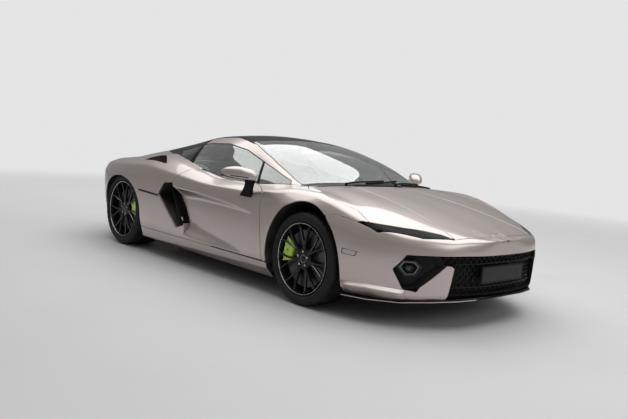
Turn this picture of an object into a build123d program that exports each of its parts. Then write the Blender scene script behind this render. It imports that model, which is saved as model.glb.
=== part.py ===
"""Two-seat mid-engined supercar, built as separate panels, glass, cabin and running gear.

Millimetres. +X is ahead, +Y is the car's left and +Z is up. The origin is on the ground
below the middle of the car, and the car stands on its four tyres.
"""
from build123d import *
import math
import os

# ---- driving dimensions -------------------------------------------------------------
WHEELBASE = 2658.0
FRONT_OVERHANG = 1038.0
REAR_OVERHANG = 904.0
BODY_WIDTH = 2000.0
BODY_HEIGHT = 1176.0
FLOOR_Z = 120.0

SKIN = 12.0              # outer panels
DOOR_THICKNESS = 125.0
GLASS = 6.0
SHUT_GAP = 6.0           # between a moving panel and its neighbours
HINGE_GAP = 12.0         # along a hinged edge
DOOR_GAP = 7.5           # all round a door
DOOR_LEAN = 0.115        # of the door's rear face, forward for each unit inward, so that it swings clear
PILLAR_NOTCH = (530, 700, 822, 770)    # out of the door's top under the pillar foot: x, x, outer y, low z
HINGE_INSET = 6.0        # of a lid hinge pin from its edge and from its top
WALL = 20.0              # floor, bulkheads and inner walls

FRONT_TYRE_RADIUS = 333.0
FRONT_TYRE_WIDTH = 265.0
FRONT_RIM_RADIUS = 258.0
REAR_TYRE_RADIUS = 348.0
REAR_TYRE_WIDTH = 325.0
REAR_RIM_RADIUS = 271.0
FRONT_TRACK = 1645.0
REAR_TRACK = 1585.0
RIM_BARREL = 9.0         # wall of the rim's barrel
HUB_RADIUS = 78.0
SPINDLE_RADIUS = 32.0
RUNNING_GAP = 0.3
TYRE_CLEARANCE = 16.0
FRONT_DISC_RADIUS = 205.0
REAR_DISC_RADIUS = 195.0
DISC_THICKNESS = 34.0
KINGPIN_RADIUS = 14.0

HOOD_REAR_X = 1085.0
DOOR_HINGE_X = 750.0
SCOOP_DEPTH = 72.0
SCOOP_START_X = 560.0

# Small sizes of hinges, panes and cabin
HINGE_EAR = 12.0
EAR_RADIUS = 6.0
PIN_RADIUS = 3.5
HOOD_HINGE_Y = 200.0
PIN_DEPTH = 9.0          # of a lid hinge pin under the skin
LID_HINGE_Y = 50.0
DOOR_HINGE_Y = 955.0
DOOR_HINGE_Z = (345.0, 470.0)
DOOR_EAR = 24.0
DOOR_PIN_RADIUS = 6.0
PILLAR = 22.0
GLASS_DROP = 14.0        # of the side glass under the cant line
SCREEN_TOP_X = 110.0
LID_FRONT_X = -600.0
LID_REAR_X = -1900.0
LID_HALF = 420.0
TAIL_SPLIT_X = -1965.0
SILL_TOP_Z = 240.0
PIPE_RADIUS = 52.0
PIPE_Y = 72.0
PIPE_Z = 595.0
DIFFUSER_HALF = 420.0
DIFFUSER_FINS = (-300.0, -100.0, 100.0, 300.0)
FRUNK_HALF = 430.0
TOW_SOCKET_X = 2235.0
TOW_SOCKET_Y = 260.0
TOW_SOCKET_Z = 330.0
TOW_SOCKET_RADIUS = 11.0
TOW_SOCKET_DEPTH = 60.0
TOW_BOSS_RADIUS = 20.0
FRUNK_Z = 172.0
TUNNEL_HALF = 110.0
TUNNEL_Z = 330.0
RAIL_Y = 380.0
SEAT_Y = 370.0
SEAT_WIDTH = 480.0
DASH_HALF = 720.0
STEERING_WHEEL_RADIUS = 172.0
STEERING_LEAN = 22.0
SPOKE_PAIRS = 7
SPOKE_DEPTH = 24.0
SPOKE_ROOT_TURN = math.radians(9)
SPOKE_TIP_TURN = math.radians(15)
CALIPER_GAP = 5.0
CALIPER_SPREAD = 25.0
ARM_THICKNESS = 26.0
ARM_RISE = 124.0

# ---- the drawn size that the tables below are written at ----------------------------
DRAWN_FRONT_AXLE = 1262.0
DRAWN_WHEELBASE = 2658.0
DRAWN_FRONT_OVERHANG = 1038.0
DRAWN_REAR_OVERHANG = 904.0
DRAWN_WIDTH = 2000.0
DRAWN_HEIGHT = 1176.0

LENGTH = FRONT_OVERHANG + WHEELBASE + REAR_OVERHANG
FRONT_AXLE_X = LENGTH / 2 - FRONT_OVERHANG
REAR_AXLE_X = FRONT_AXLE_X - WHEELBASE

# Lower body. One row is one half section, from the sill's underside up to the centre line:
# x, then y and z of floor, rocker, side, shoulder, crest, belt, mid, and z on the centre
HULL = (
    (2300, 150, 235, 170, 262, 190, 400, 190, 525, 175, 562, 140, 586, 70, 592, 594),
    (2250, 400, 210, 430, 242, 450, 400, 450, 530, 425, 572, 370, 594, 190, 606, 608),
    (2150, 570, 192, 600, 226, 625, 400, 620, 535, 590, 585, 500, 614, 260, 632, 637),
    (2010, 710, 180, 740, 216, 770, 400, 768, 545, 735, 605, 625, 646, 320, 668, 671),
    (1830, 810, 174, 850, 214, 880, 400, 877, 560, 838, 645, 700, 688, 350, 714, 716),
    (1640, 855, 165, 910, 214, 945, 400, 942, 600, 880, 715, 730, 736, 360, 754, 757),
    (1450, 870, 135, 940, 200, 972, 380, 970, 650, 895, 778, 730, 776, 370, 786, 789),
    (1262, 870, 120, 945, 195, 984, 360, 982, 695, 890, 808, 725, 804, 380, 812, 815),
    (1060, 870, 120, 945, 195, 984, 340, 978, 690, 895, 805, 740, 816, 400, 836, 839),
    (855, 870, 120, 945, 195, 980, 300, 968, 660, 925, 770, 800, 815, 420, 845, 850),
    (510, 870, 120, 940, 185, 980, 270, 964, 650, 940, 735, 860, 785, 420, 850, 862),
    (150, 870, 120, 940, 175, 984, 265, 972, 655, 952, 735, 868, 782, 420, 850, 868),
    (-250, 870, 120, 942, 165, 988, 270, 984, 665, 965, 755, 868, 825, 420, 872, 885),
    (-610, 870, 120, 945, 155, 993, 290, 995, 685, 970, 785, 855, 880, 430, 930, 940),
    (-950, 870, 120, 948, 150, 998, 330, 1000, 700, 960, 815, 800, 905, 430, 950, 955),
    (-1396, 870, 125, 950, 170, 998, 400, 998, 690, 940, 800, 740, 870, 430, 905, 910),
    (-1700, 850, 150, 915, 200, 958, 420, 962, 680, 900, 780, 700, 842, 420, 862, 868),
    (-1960, 780, 210, 825, 240, 862, 440, 866, 680, 810, 768, 650, 818, 410, 832, 838),
    (-2200, 660, 270, 700, 300, 738, 460, 745, 675, 705, 752, 590, 796, 390, 808, 814),
    (-2300, 560, 330, 600, 350, 640, 480, 650, 665, 630, 730, 540, 770, 360, 784, 790),
)
# Greenhouse and rear deck: x, z on the centre, then y and z of edge, cant and base
CANOPY = (
    (1100, 790, 650, 765, 705, 740, 790, 640),
    (870, 872, 690, 850, 742, 826, 835, 700),
    (610, 992, 672, 965, 726, 908, 850, 740),
    (380, 1078, 625, 1044, 686, 968, 850, 740),
    (150, 1140, 555, 1108, 645, 1026, 850, 740),
    (-150, 1176, 490, 1146, 618, 1062, 850, 745),
    (-470, 1164, 475, 1124, 602, 1046, 850, 760),
    (-850, 1088, 475, 1048, 602, 968, 820, 800),
    (-1250, 992, 480, 968, 615, 895, 780, 800),
    (-1700, 892, 490, 886, 610, 842, 700, 750),
    (-2050, 822, 490, 816, 600, 780, 660, 700),
)

# Outlines of the panels, half of the car each. Side views hold x, z; plans hold x, y.
HOOD_SIDE = ((2198, 463), (1720, 372), (1085, 290))
HOOD_NOSE = ((2190, 45), (2238, 70), (2228, 300))
FENDER_LINE = ((1010, 700), (1130, 800), (1300, 850), (1450, 868), (1646, 815), (1776, 842))
LAMP_PLAN = ((1714, 884), (1776, 842), (1949, 693), (2118, 508), (2190, 485), (2090, 652),
             (1864, 840))
BUMPER_LINE = ((1714, 658), (1550, 690), (1400, 640))
DOOR_SIDE = ((852, 246), (846, 300), (766, 749), (600, 800), (560, 860), (-280, 900),
             (-330, 835), (-440, 700), (-397, 620), (-209, 368), (-207, 246))
DOOR_TOP_Y = 735.0
INTAKE_SIDE = ((-566, 690), (-654, 576), (-376, 329), (-209, 368), (-397, 620), (-440, 700))
GRILLE_FRONT = ((0, 494), (430, 498), (744, 488), (794, 389), (736, 262), (640, 246), (0, 240))
VANE_FRONT = ((539, 437), (487, 428), (509, 236), (690, 236), (668, 281))
DAY_LAMP_FRONT = ((779, 407), (755, 454), (695, 456), (664, 417), (686, 357), (738, 345))
SPLITTER_SIDE = ((1560, 152), (2010, 162), (2320, 205), (2320, 226), (2010, 190), (1560, 172))
SPLITTER_PLAN = ((1640, 905), (1830, 862), (2015, 736), (2160, 590), (2255, 440), (2300, 250))
SAIL_PLAN = ((-560, 400), (-1300, 400), (-1296, 532), (-930, 658), (-560, 770))
SCOOP_SIDE = ((560, 600), (150, 652), (-300, 676), (-560, 700), (-700, 640), (-376, 318), (-209, 288),
              (150, 276), (560, 284))
# Mirror sections: y, middle x, middle z, length, height; its stalk's levels: z, and plan corners
MIRROR = ((925, 680, 838, 90, 40), (965, 640, 846, 170, 86), (1050, 580, 856, 190, 96),
          (1110, 530, 860, 150, 70), (1135, 505, 862, 60, 26))
MIRROR_STALK = ((692, ((520, 925), (655, 925), (648, 962), (524, 962))),
                (834, ((575, 955), (690, 945), (686, 975), (580, 995))))
TAIL_LAMP_REAR = ((560, 690), (600, 640), (560, 590), (430, 590), (390, 640), (430, 690))
TAIL_PANEL_REAR = ((0, 720), (560, 712), (610, 650), (560, 560), (470, 470), (0, 470))
DIFFUSER_REAR = ((0, 430), (430, 430), (520, 300), (470, 180), (0, 180))


# ---- placing --------------------------------------------------------------------------
def px(x):
    """Place a drawn length along the car: each overhang and the wheelbase stretch apart."""
    ahead = x - DRAWN_FRONT_AXLE
    if ahead >= 0:
        return FRONT_AXLE_X + ahead * FRONT_OVERHANG / DRAWN_FRONT_OVERHANG
    if ahead >= -DRAWN_WHEELBASE:
        return FRONT_AXLE_X + ahead * WHEELBASE / DRAWN_WHEELBASE
    return REAR_AXLE_X + (ahead + DRAWN_WHEELBASE) * REAR_OVERHANG / DRAWN_REAR_OVERHANG


def py(y):
    return y * BODY_WIDTH / DRAWN_WIDTH


def pz(z):
    drawn_span = DRAWN_HEIGHT - 120.0
    return FLOOR_Z + (z - 120.0) * (BODY_HEIGHT - FLOOR_Z) / drawn_span


# ---- shapes ---------------------------------------------------------------------------
def ring(points):
    return Wire.make_polygon([Vector(*point) for point in points], close=True)


def solids(*shapes):
    """List the solids of shapes, results of cuts and lists alike."""
    found = []
    for shape in shapes:
        if shape is None:
            continue
        if isinstance(shape, (list, tuple)):
            found += solids(*shape)
        else:
            found += shape.solids()
    return found


def cut(shape, *tools):
    kept = solids(shape)
    for tool in solids(*tools):
        kept = solids(*[piece - tool for piece in kept])
    return kept


def common(shape, *tools):
    kept = solids(shape)
    for tool in tools:
        parts = []
        for piece in kept:
            parts += solids(*[piece & each for each in solids(tool)])
        kept = parts
    return kept


def join(*shapes):
    pieces = solids(*shapes)
    whole = pieces[0]
    for piece in pieces[1:]:
        whole = whole + piece
    return solids(whole)


def mirrored(*shapes):
    return [mirror(piece, about=Plane.XZ) for piece in solids(*shapes)]


def both(*shapes):
    return solids(*shapes) + mirrored(*shapes)


def block(x0, x1, y0, y1, z0, z1):
    corner = Plane((min(x0, x1), min(y0, y1), min(z0, z1)))
    return Solid.make_box(abs(x1 - x0), abs(y1 - y0), abs(z1 - z0), corner)


def cylinder_y(radius, x, y0, y1, z):
    return Solid.make_cylinder(radius, y1 - y0, Plane((x, y0, z), x_dir=(1, 0, 0), z_dir=(0, 1, 0)))


def cylinder_z(radius, x, y, z0, z1):
    return Solid.make_cylinder(radius, z1 - z0, Plane((x, y, z0)))


def plan_prism(outline, z0, z1):
    """Stand a plan outline of drawn x, y up from z0 to z1."""
    face = Face(ring([(px(x), py(y), z0) for x, y in outline]))
    return Solid.extrude(face, Vector(0, 0, z1 - z0))


def side_prism(outline, y0, y1):
    face = Face(ring([(px(x), y0, pz(z)) for x, z in outline]))
    return Solid.extrude(face, Vector(0, y1 - y0, 0))


def front_prism(outline, x0, x1):
    face = Face(ring([(x0, py(y), pz(z)) for y, z in outline]))
    return Solid.extrude(face, Vector(x1 - x0, 0, 0))


def whole_outline(half):
    """Close a half outline of x, y with its mirror image."""
    return tuple(half) + tuple((x, -y) for x, y in reversed(half) if y != 0)


def grown(outline, amount):
    """Move each side of a closed outline out by amount, or in where amount is negative."""
    count = len(outline)
    area = sum(outline[i][0] * outline[(i + 1) % count][1] - outline[(i + 1) % count][0] * outline[i][1]
               for i in range(count))
    turn = 1.0 if area > 0 else -1.0
    moved = []
    for i in range(count):
        before, here, after = outline[i - 1], outline[i], outline[(i + 1) % count]
        normals = []
        for start, end in ((before, here), (here, after)):
            dx, dy = end[0] - start[0], end[1] - start[1]
            length = math.hypot(dx, dy)
            normals.append((turn * dy / length, -turn * dx / length))
        lean = 1 + normals[0][0] * normals[1][0] + normals[0][1] * normals[1][1]
        lean = max(lean, 0.35)
        moved.append((here[0] + amount * (normals[0][0] + normals[1][0]) / lean,
                      here[1] + amount * (normals[0][1] + normals[1][1]) / lean))
    return tuple(moved)


def hull_half(row):
    pairs = [(row[i], row[i + 1]) for i in range(1, 15, 2)]
    return [(py(y), pz(z)) for y, z in pairs] + [(0.0, pz(row[15]))]


def canopy_half(row):
    pairs = [(row[6], 600), (row[6], row[7]), (row[4], row[5]), (row[2], row[3])]
    return [(py(y), pz(z)) for y, z in pairs] + [(0.0, pz(row[1]))]


def lofted(table, half_of, inset, first, last):
    """Loft a table's rows from drawn x = first back to last, shrunk by inset all round."""
    rows = [row for row in table]
    near = [i for i, row in enumerate(rows) if row[0] < first][0] - 1
    far = [i for i, row in enumerate(rows) if row[0] <= last]
    far = far[0] if far else len(rows) - 1
    wires = []
    for row in rows[max(near, 0):far + 1]:
        half = half_of(row)
        outline = half + [(-y, z) for y, z in reversed(half[:-1])]
        if inset:
            outline = grown(outline, -inset)
        x = px(row[0])
        shift = inset if x < px(0) else -inset
        wires.append(ring([(x + shift, y, z) for y, z in outline]))
    return Solid.make_loft(wires, ruled=True)


def hull(inset=0.0, first=2300, last=-2300):
    return lofted(HULL, hull_half, inset, first, last)


def canopy(inset=0.0, first=1100, last=-2050):
    return lofted(CANOPY, canopy_half, inset, first, last)


def canopy_line(column, x):
    """Width of the greenhouse at drawn x, on the table's column of y."""
    for ahead, behind in zip(CANOPY, CANOPY[1:]):
        if ahead[0] >= x >= behind[0]:
            share = (ahead[0] - x) / (ahead[0] - behind[0])
            return ahead[column] + share * (behind[column] - ahead[column])
    return CANOPY[-1][column]


def canopy_strip(x_front, x_rear, inner, outer):
    """Plan outline of a band between two widths that follow the greenhouse."""
    stations = [x_front]
    stations += [row[0] for row in CANOPY if x_rear < row[0] < x_front]
    stations += [x_rear]
    return tuple((x, inner(x)) for x in stations) + tuple((x, outer(x)) for x in reversed(stations))


def arch(axle_x, half_length, top_z, rise_z, y0, y1):
    """Wheel opening: an elliptical top over straight sides."""
    points = []
    steps = 12
    for step in range(steps + 1):
        angle = math.pi * step / steps
        points.append((axle_x + half_length * math.cos(angle), rise_z + (top_z - rise_z) * math.sin(angle)))
    points += [(axle_x - half_length, -50.0), (axle_x + half_length, -50.0)]
    face = Face(ring([(x, y0, z) for x, z in points]))
    return Solid.extrude(face, Vector(0, y1 - y0, 0))


# ---- worked-out sizes ---------------------------------------------------------------
FAR = 1600.0
FRONT_SWEEP = math.hypot(FRONT_TYRE_RADIUS, FRONT_TYRE_WIDTH / 2)
FRONT_ARCH_HALF = FRONT_SWEEP + TYRE_CLEARANCE
FRONT_ARCH_TOP = FRONT_TYRE_RADIUS + FRONT_SWEEP + 3.5 * TYRE_CLEARANCE
REAR_ARCH_HALF = REAR_TYRE_RADIUS + 82.0
REAR_ARCH_TOP = 2 * REAR_TYRE_RADIUS + 6.0
CABIN_HALF = py(985) - DOOR_THICKNESS - 60.0
CABIN_FRONT = FRONT_AXLE_X - FRONT_SWEEP - TYRE_CLEARANCE - WALL
CABIN_REAR = px(-480)
NODES = {}


def front_arch():
    return both(arch(FRONT_AXLE_X, FRONT_ARCH_HALF, FRONT_ARCH_TOP, FRONT_TYRE_RADIUS, 300, FAR))


def rear_arch():
    return both(arch(REAR_AXLE_X, REAR_ARCH_HALF, REAR_ARCH_TOP, REAR_TYRE_RADIUS, 300, FAR))


# ---- front of the body ----------------------------------------------------------------
def sides_outline():
    """Plan of the bonnet side panel, between the hood and the fender line."""
    return HOOD_SIDE + ((1010, 290),) + FENDER_LINE + LAMP_PLAN[2:5]


def fender_outline():
    """Side view of the front fender, from the bumper line round to the door's front edge."""
    return ((1776, 655),) + BUMPER_LINE + ((1262, 500), (1262, 0), (852, 0)) + DOOR_SIDE[:5] + (
        (560, 1000), (1776, 1000))


def mouth():
    """Front opening of the bumper, less the vane that stands in it on each side."""
    half = front_prism(GRILLE_FRONT, px(1700), FAR * 2)
    vanes = both(front_prism(VANE_FRONT, px(1700), FAR * 2))
    return cut(join(half, mirrored(half)), vanes)


def make_front():
    shell = cut(hull(0, 2300, 855), hull(SKIN, 2300, 855))
    hood_room = plan_prism(whole_outline(HOOD_NOSE + HOOD_SIDE), 480, FAR)
    hood_plan = plan_prism(grown(whole_outline(HOOD_NOSE + HOOD_SIDE), -SHUT_GAP), 480, FAR)
    rear_gap = block(px(HOOD_REAR_X) - SHUT_GAP, px(HOOD_REAR_X) + HINGE_GAP, -FAR, FAR, 0, FAR)
    lamp = plan_prism(LAMP_PLAN, 480, FAR)
    side_panel = plan_prism(sides_outline(), 480, FAR)
    cowl_plan = ((HOOD_REAR_X, 290), (1010, 290), (1010, 700), (860, 700))
    cowl_room = plan_prism(whole_outline(cowl_plan), 480, FAR)
    NODES["hood"] = join(cut(common(shell, hood_plan), rear_gap, hood_notches()), hood_pins())
    NODES["headlamps"] = common(shell, both(lamp))
    NODES["cowl"] = join(cut(common(shell, cowl_room), canopy(0, 1100, 610), hood_room), hood_ears())

    taken = solids(hood_room, both(side_panel), both(lamp), cowl_room, front_arch())
    rest = cut(shell, taken)
    fender_zone = side_prism(fender_outline(), 300, FAR)
    screen_zone = block(px(560), px(1011), 0, DOOR_TOP_Y, 480, FAR)
    belly = block(px(600), px(1640), 0, CABIN_HALF, 0, 300)
    sill_room = block(px(0), FRONT_AXLE_X, 0, FAR, -50, pz(SILL_TOP_Z))
    fender = cut(common(rest, fender_zone), screen_zone, belly, sill_room)
    upper = cut(common(shell, side_panel), hood_room, canopy(0, 1100, 610))
    NODES["front_fenders"] = both(fender, upper)
    ahead = block(px(1262), FAR * 2, -FAR, FAR, -50, FAR)
    centre_belly = block(px(1200), px(1640), -CABIN_HALF, CABIN_HALF, 0, 300)
    NODES["front_bumper"] = cut(common(rest, ahead), both(fender_zone), mouth(), centre_belly)


def hull_top(x, y):
    """Height of the lower body's top at drawn x, y between its centre and its mid line."""
    for ahead, behind in zip(HULL, HULL[1:]):
        if ahead[0] >= x >= behind[0]:
            share = (ahead[0] - x) / (ahead[0] - behind[0])
            mid_y, mid_z, centre_z = [ahead[i] + share * (behind[i] - ahead[i]) for i in (13, 14, 15)]
            return pz(centre_z + (mid_z - centre_z) * abs(y) / py(mid_y))
    raise ValueError("x is off the car")


def hood_hinge():
    """Hinge line of the hood, just under its skin at the rear edge: x and z."""
    x = px(HOOD_REAR_X) + HINGE_GAP + HINGE_INSET
    return x, hull_top(HOOD_REAR_X, HOOD_HINGE_Y) - PIN_DEPTH


def hood_notches():
    x, z = hood_hinge()
    reach = HINGE_EAR / 2 + SHUT_GAP
    return [block(x - 40, x + EAR_RADIUS + SHUT_GAP, y - reach, y + reach, z - 60, z + 60)
            for y in (-HOOD_HINGE_Y, HOOD_HINGE_Y)]


def hood_pins():
    """Pins across the notches, each in two lugs that hang from the skin."""
    x, z = hood_hinge()
    pins = []
    for y in (-HOOD_HINGE_Y, HOOD_HINGE_Y):
        reach = HINGE_EAR / 2 + SHUT_GAP
        pins.append(cylinder_y(PIN_RADIUS, x, y - reach - 10, y + reach + 10, z))
        for y0, y1 in ((y - reach - 10, y - reach), (y + reach, y + reach + 10)):
            pins.append(block(x - HINGE_INSET + 1, x + 30, y0, y1, z - PIN_RADIUS - 1, z + 1))
    return pins


def hood_ears():
    x, z = hood_hinge()
    ears = []
    for y in (-HOOD_HINGE_Y, HOOD_HINGE_Y):
        y0, y1 = y - HINGE_EAR / 2, y + HINGE_EAR / 2
        arm = block(px(HOOD_REAR_X) - 30, x, y0, y1, z - EAR_RADIUS, z + PIN_RADIUS)
        ears += cut(join(arm, cylinder_y(EAR_RADIUS, x, y0, y1, z)),
                    cylinder_y(PIN_RADIUS + RUNNING_GAP, x, y0, y1, z))
    return ears


def make_front_trim():
    backing = cut(hull(SKIN, 2300, 1830), hull(2 * SKIN, 2300, 1830))
    half = GRILLE_FRONT[1:-1]
    window = grown(half + tuple((-y, z) for y, z in reversed(half)), 2 * SKIN)
    lamp = both(front_prism(DAY_LAMP_FRONT, px(1880), FAR * 2))
    tow_room = cylinder_x(TOW_BOSS_RADIUS + SHUT_GAP, px(1980), FAR * 2, -TOW_SOCKET_Y, TOW_SOCKET_Z)
    NODES["front_grille"] = cut(common(backing, front_prism(window, px(1830), FAR * 2)), lamp, tow_room)
    face = cut(hull(0, 2300, 1830), hull(2 * SKIN, 2300, 1830))
    NODES["day_lamps"] = common(face, lamp)
    blade = plan_prism(whole_outline(((1600, 905),) + SPLITTER_PLAN), 0, FAR)
    blade = common(blade, side_prism(SPLITTER_SIDE, -FAR, FAR))
    NODES["front_splitter"] = cut(blade, hull(0, 2300, 1450), front_arch())


# ---- sides ----------------------------------------------------------------------------
def door_room():
    return side_prism(DOOR_SIDE, DOOR_TOP_Y - SHUT_GAP, FAR)


def scoop():
    """Hollow in the door's flank that deepens towards the side intake."""
    plan = ((SCOOP_START_X, 986), (-700, 986 - SCOOP_DEPTH), (-700, 1500), (SCOOP_START_X, 1500))
    return common(plan_prism(plan, 200, 800), side_prism(SCOOP_SIDE, 500, FAR))


def door_hinges():
    """For each of the two hinges of a left door: its height, and the room its arm needs."""
    rooms = []
    for z in DOOR_HINGE_Z:
        rooms.append((z, block(DOOR_HINGE_X - EAR_RADIUS - 8, px(900), 600, DOOR_HINGE_Y + 16,
                               z - DOOR_EAR / 2 - SHUT_GAP, z + DOOR_EAR / 2 + SHUT_GAP)))
    return rooms


def door_lean():
    """Door outline drawn inwards and forward, with room ahead, to trim the rear face at a lean."""
    ahead = DOOR_SIDE[0][0] + 2 * DOOR_THICKNESS
    outline = [(ahead if x > 0 else x, z) for x, z in grown(DOOR_SIDE, -DOOR_GAP)]
    depth = py(DRAWN_WIDTH / 2) - DOOR_TOP_Y
    face = Face(ring([(px(x), py(DRAWN_WIDTH / 2), pz(z)) for x, z in outline]))
    return Solid.extrude(face, Vector(depth * DOOR_LEAN, -depth, 0))


def make_doors():
    body = common(hull(0, 1060, -610), side_prism(grown(DOOR_SIDE, -DOOR_GAP), DOOR_TOP_Y, FAR), door_lean())
    inner = block(px(1100), px(-700), 0, py(985) - DOOR_THICKNESS, 0, pz(650))
    x0, x1, outer_y, low_z = PILLAR_NOTCH
    notch = block(px(x0), px(x1), 0, py(outer_y), pz(low_z), pz(1000))
    door = cut(body, inner, scoop(), notch)
    for z, room in door_hinges():
        reach = DOOR_EAR / 2 + SHUT_GAP
        pin = cylinder_z(DOOR_PIN_RADIUS, DOOR_HINGE_X, DOOR_HINGE_Y, z - reach - 2, z + reach + 2)
        door = join(cut(door, room), pin)
    NODES["door_left"] = door

    shell = cut(canopy(0, 1100, -850), canopy(GLASS, 1100, -850))
    pane = side_prism(grown(door_glass_outline(), -SHUT_GAP), 400, FAR)
    glass = cut(common(shell, pane), hull(0, 1060, -610))
    NODES["door_glass_left"] = glass
    NODES["mirror_left"] = make_mirror(door)
    for node in ("door", "door_glass", "mirror"):
        NODES[node + "_right"] = mirrored(NODES[node + "_left"])


def make_mirror(door):
    """Mirror housing on its stalk. Sections run outwards: y, middle x, middle z, length, height."""
    wires = []
    for y, x, z, length, height in MIRROR:
        half_l, half_h = length / 2, height / 2
        points = [(half_l, 0), (half_l * 0.7, half_h * 0.8), (-half_l * 0.8, half_h), (-half_l, 0),
                  (-half_l * 0.8, -half_h), (half_l * 0.6, -half_h * 0.8)]
        wires.append(ring([(px(x) + dx, py(y), pz(z) + dz) for dx, dz in points]))
    housing = Solid.make_loft(wires, ruled=True)
    levels = [ring([(px(x), py(y), pz(z)) for x, y in corners]) for z, corners in MIRROR_STALK]
    stalk = Solid.make_loft(levels, ruled=True)
    return cut(join(housing, stalk), door)


def cant_z(x):
    """Height of the side glass's top line at drawn x."""
    for ahead, behind in zip(CANOPY, CANOPY[1:]):
        if ahead[0] >= x >= behind[0]:
            share = (ahead[0] - x) / (ahead[0] - behind[0])
            return ahead[5] + share * (behind[5] - ahead[5])
    return CANOPY[-1][5]


def pane_outline(front_low, front_top, rear_top, rear_low, drop):
    """Side view of a pane under the cant line. Each corner is a drawn x; the lower two have z."""
    middle = [row[0] for row in CANOPY if rear_top < row[0] < front_top]
    top = [(x, cant_z(x) - drop) for x in [front_top] + middle + [rear_top]]
    return (front_low,) + tuple(top) + (rear_low,)


def door_glass_outline():
    return pane_outline((600, 690), 440, -560, (-390, 690), GLASS_DROP)


def front_quarter_outline():
    return pane_outline((930, 690), 845, 455, (614, 690), GLASS_DROP)


def rear_quarter_outline():
    return pane_outline((-405, 690), -576, -925, (-700, 870), GLASS_DROP) + ((-560, 700),)


def make_greenhouse():
    frame = cut(canopy(0, 1100, -850), canopy(PILLAR, 1100, -850))
    thin = cut(canopy(0, 1100, -1250), canopy(GLASS, 1100, -1250))
    screen = plan_prism(canopy_strip(1105, SCREEN_TOP_X, lambda x: -canopy_line(2, x) + 14,
                                     lambda x: canopy_line(2, x) - 14), 480, FAR)
    roof = plan_prism(canopy_strip(SCREEN_TOP_X - 40, LID_FRONT_X + 30, lambda x: -canopy_line(2, x) + 25,
                                   lambda x: canopy_line(2, x) - 25), 900, FAR)
    door_pane = side_prism(door_glass_outline(), 400, FAR)
    quarter_panes = [side_prism(outline, 400, FAR)
                     for outline in (front_quarter_outline(), rear_quarter_outline())]
    body = hull(0, 1450, -1396)
    behind = block(px(-2400), px(LID_FRONT_X), -FAR, FAR, 0, FAR)
    NODES["windscreen"] = cut(common(thin, screen), body)
    NODES["roof_panel"] = common(cut(canopy(0, 380, -850), canopy(SKIN, 380, -850)), roof)
    frame = cut(frame, screen, roof, both(door_pane, quarter_panes), body, behind)
    _, _, ears = lid_parts()
    NODES["roof_frame"] = join(frame, ears)
    NODES["quarter_glass"] = both(cut(common(thin, quarter_panes), body))


# ---- rear of the body -----------------------------------------------------------------
def lid_outline():
    return whole_outline(((LID_FRONT_X, LID_HALF), (LID_REAR_X, LID_HALF)))


def lid_hinge():
    """Hinge line of the engine lid, just under its skin at the front edge: x and z."""
    for ahead, behind in zip(CANOPY, CANOPY[1:]):
        if ahead[0] >= LID_FRONT_X >= behind[0]:
            share = (ahead[0] - LID_FRONT_X) / (ahead[0] - behind[0])
            top = ahead[1] + share * (behind[1] - ahead[1])
    return px(LID_FRONT_X) - HINGE_GAP - HINGE_INSET, pz(top) - PIN_DEPTH


def lid_parts():
    """Notches in the lid, its pins, and the fixed ears that the pins turn in."""
    x, z = lid_hinge()
    reach = HINGE_EAR / 2 + SHUT_GAP
    notches, pins, ears = [], [], []
    for y in (-LID_HINGE_Y, LID_HINGE_Y):
        notches.append(block(x - EAR_RADIUS - SHUT_GAP, x + 40, y - reach, y + reach, z - 60, z + 60))
        pins.append(cylinder_y(PIN_RADIUS, x, y - reach - 10, y + reach + 10, z))
        for y0, y1 in ((y - reach - 10, y - reach), (y + reach, y + reach + 10)):
            pins.append(block(x - 30, x + HINGE_INSET - 1, y0, y1, z - PIN_RADIUS - 1, z + 1))
        y0, y1 = y - HINGE_EAR / 2, y + HINGE_EAR / 2
        arm = block(x, px(LID_FRONT_X) + 20, y0, y1, z - EAR_RADIUS, z + 2)
        ears += cut(join(arm, cylinder_y(EAR_RADIUS, x, y0, y1, z)),
                    cylinder_y(PIN_RADIUS + RUNNING_GAP, x, y0, y1, z))
    return notches, pins, ears


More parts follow.
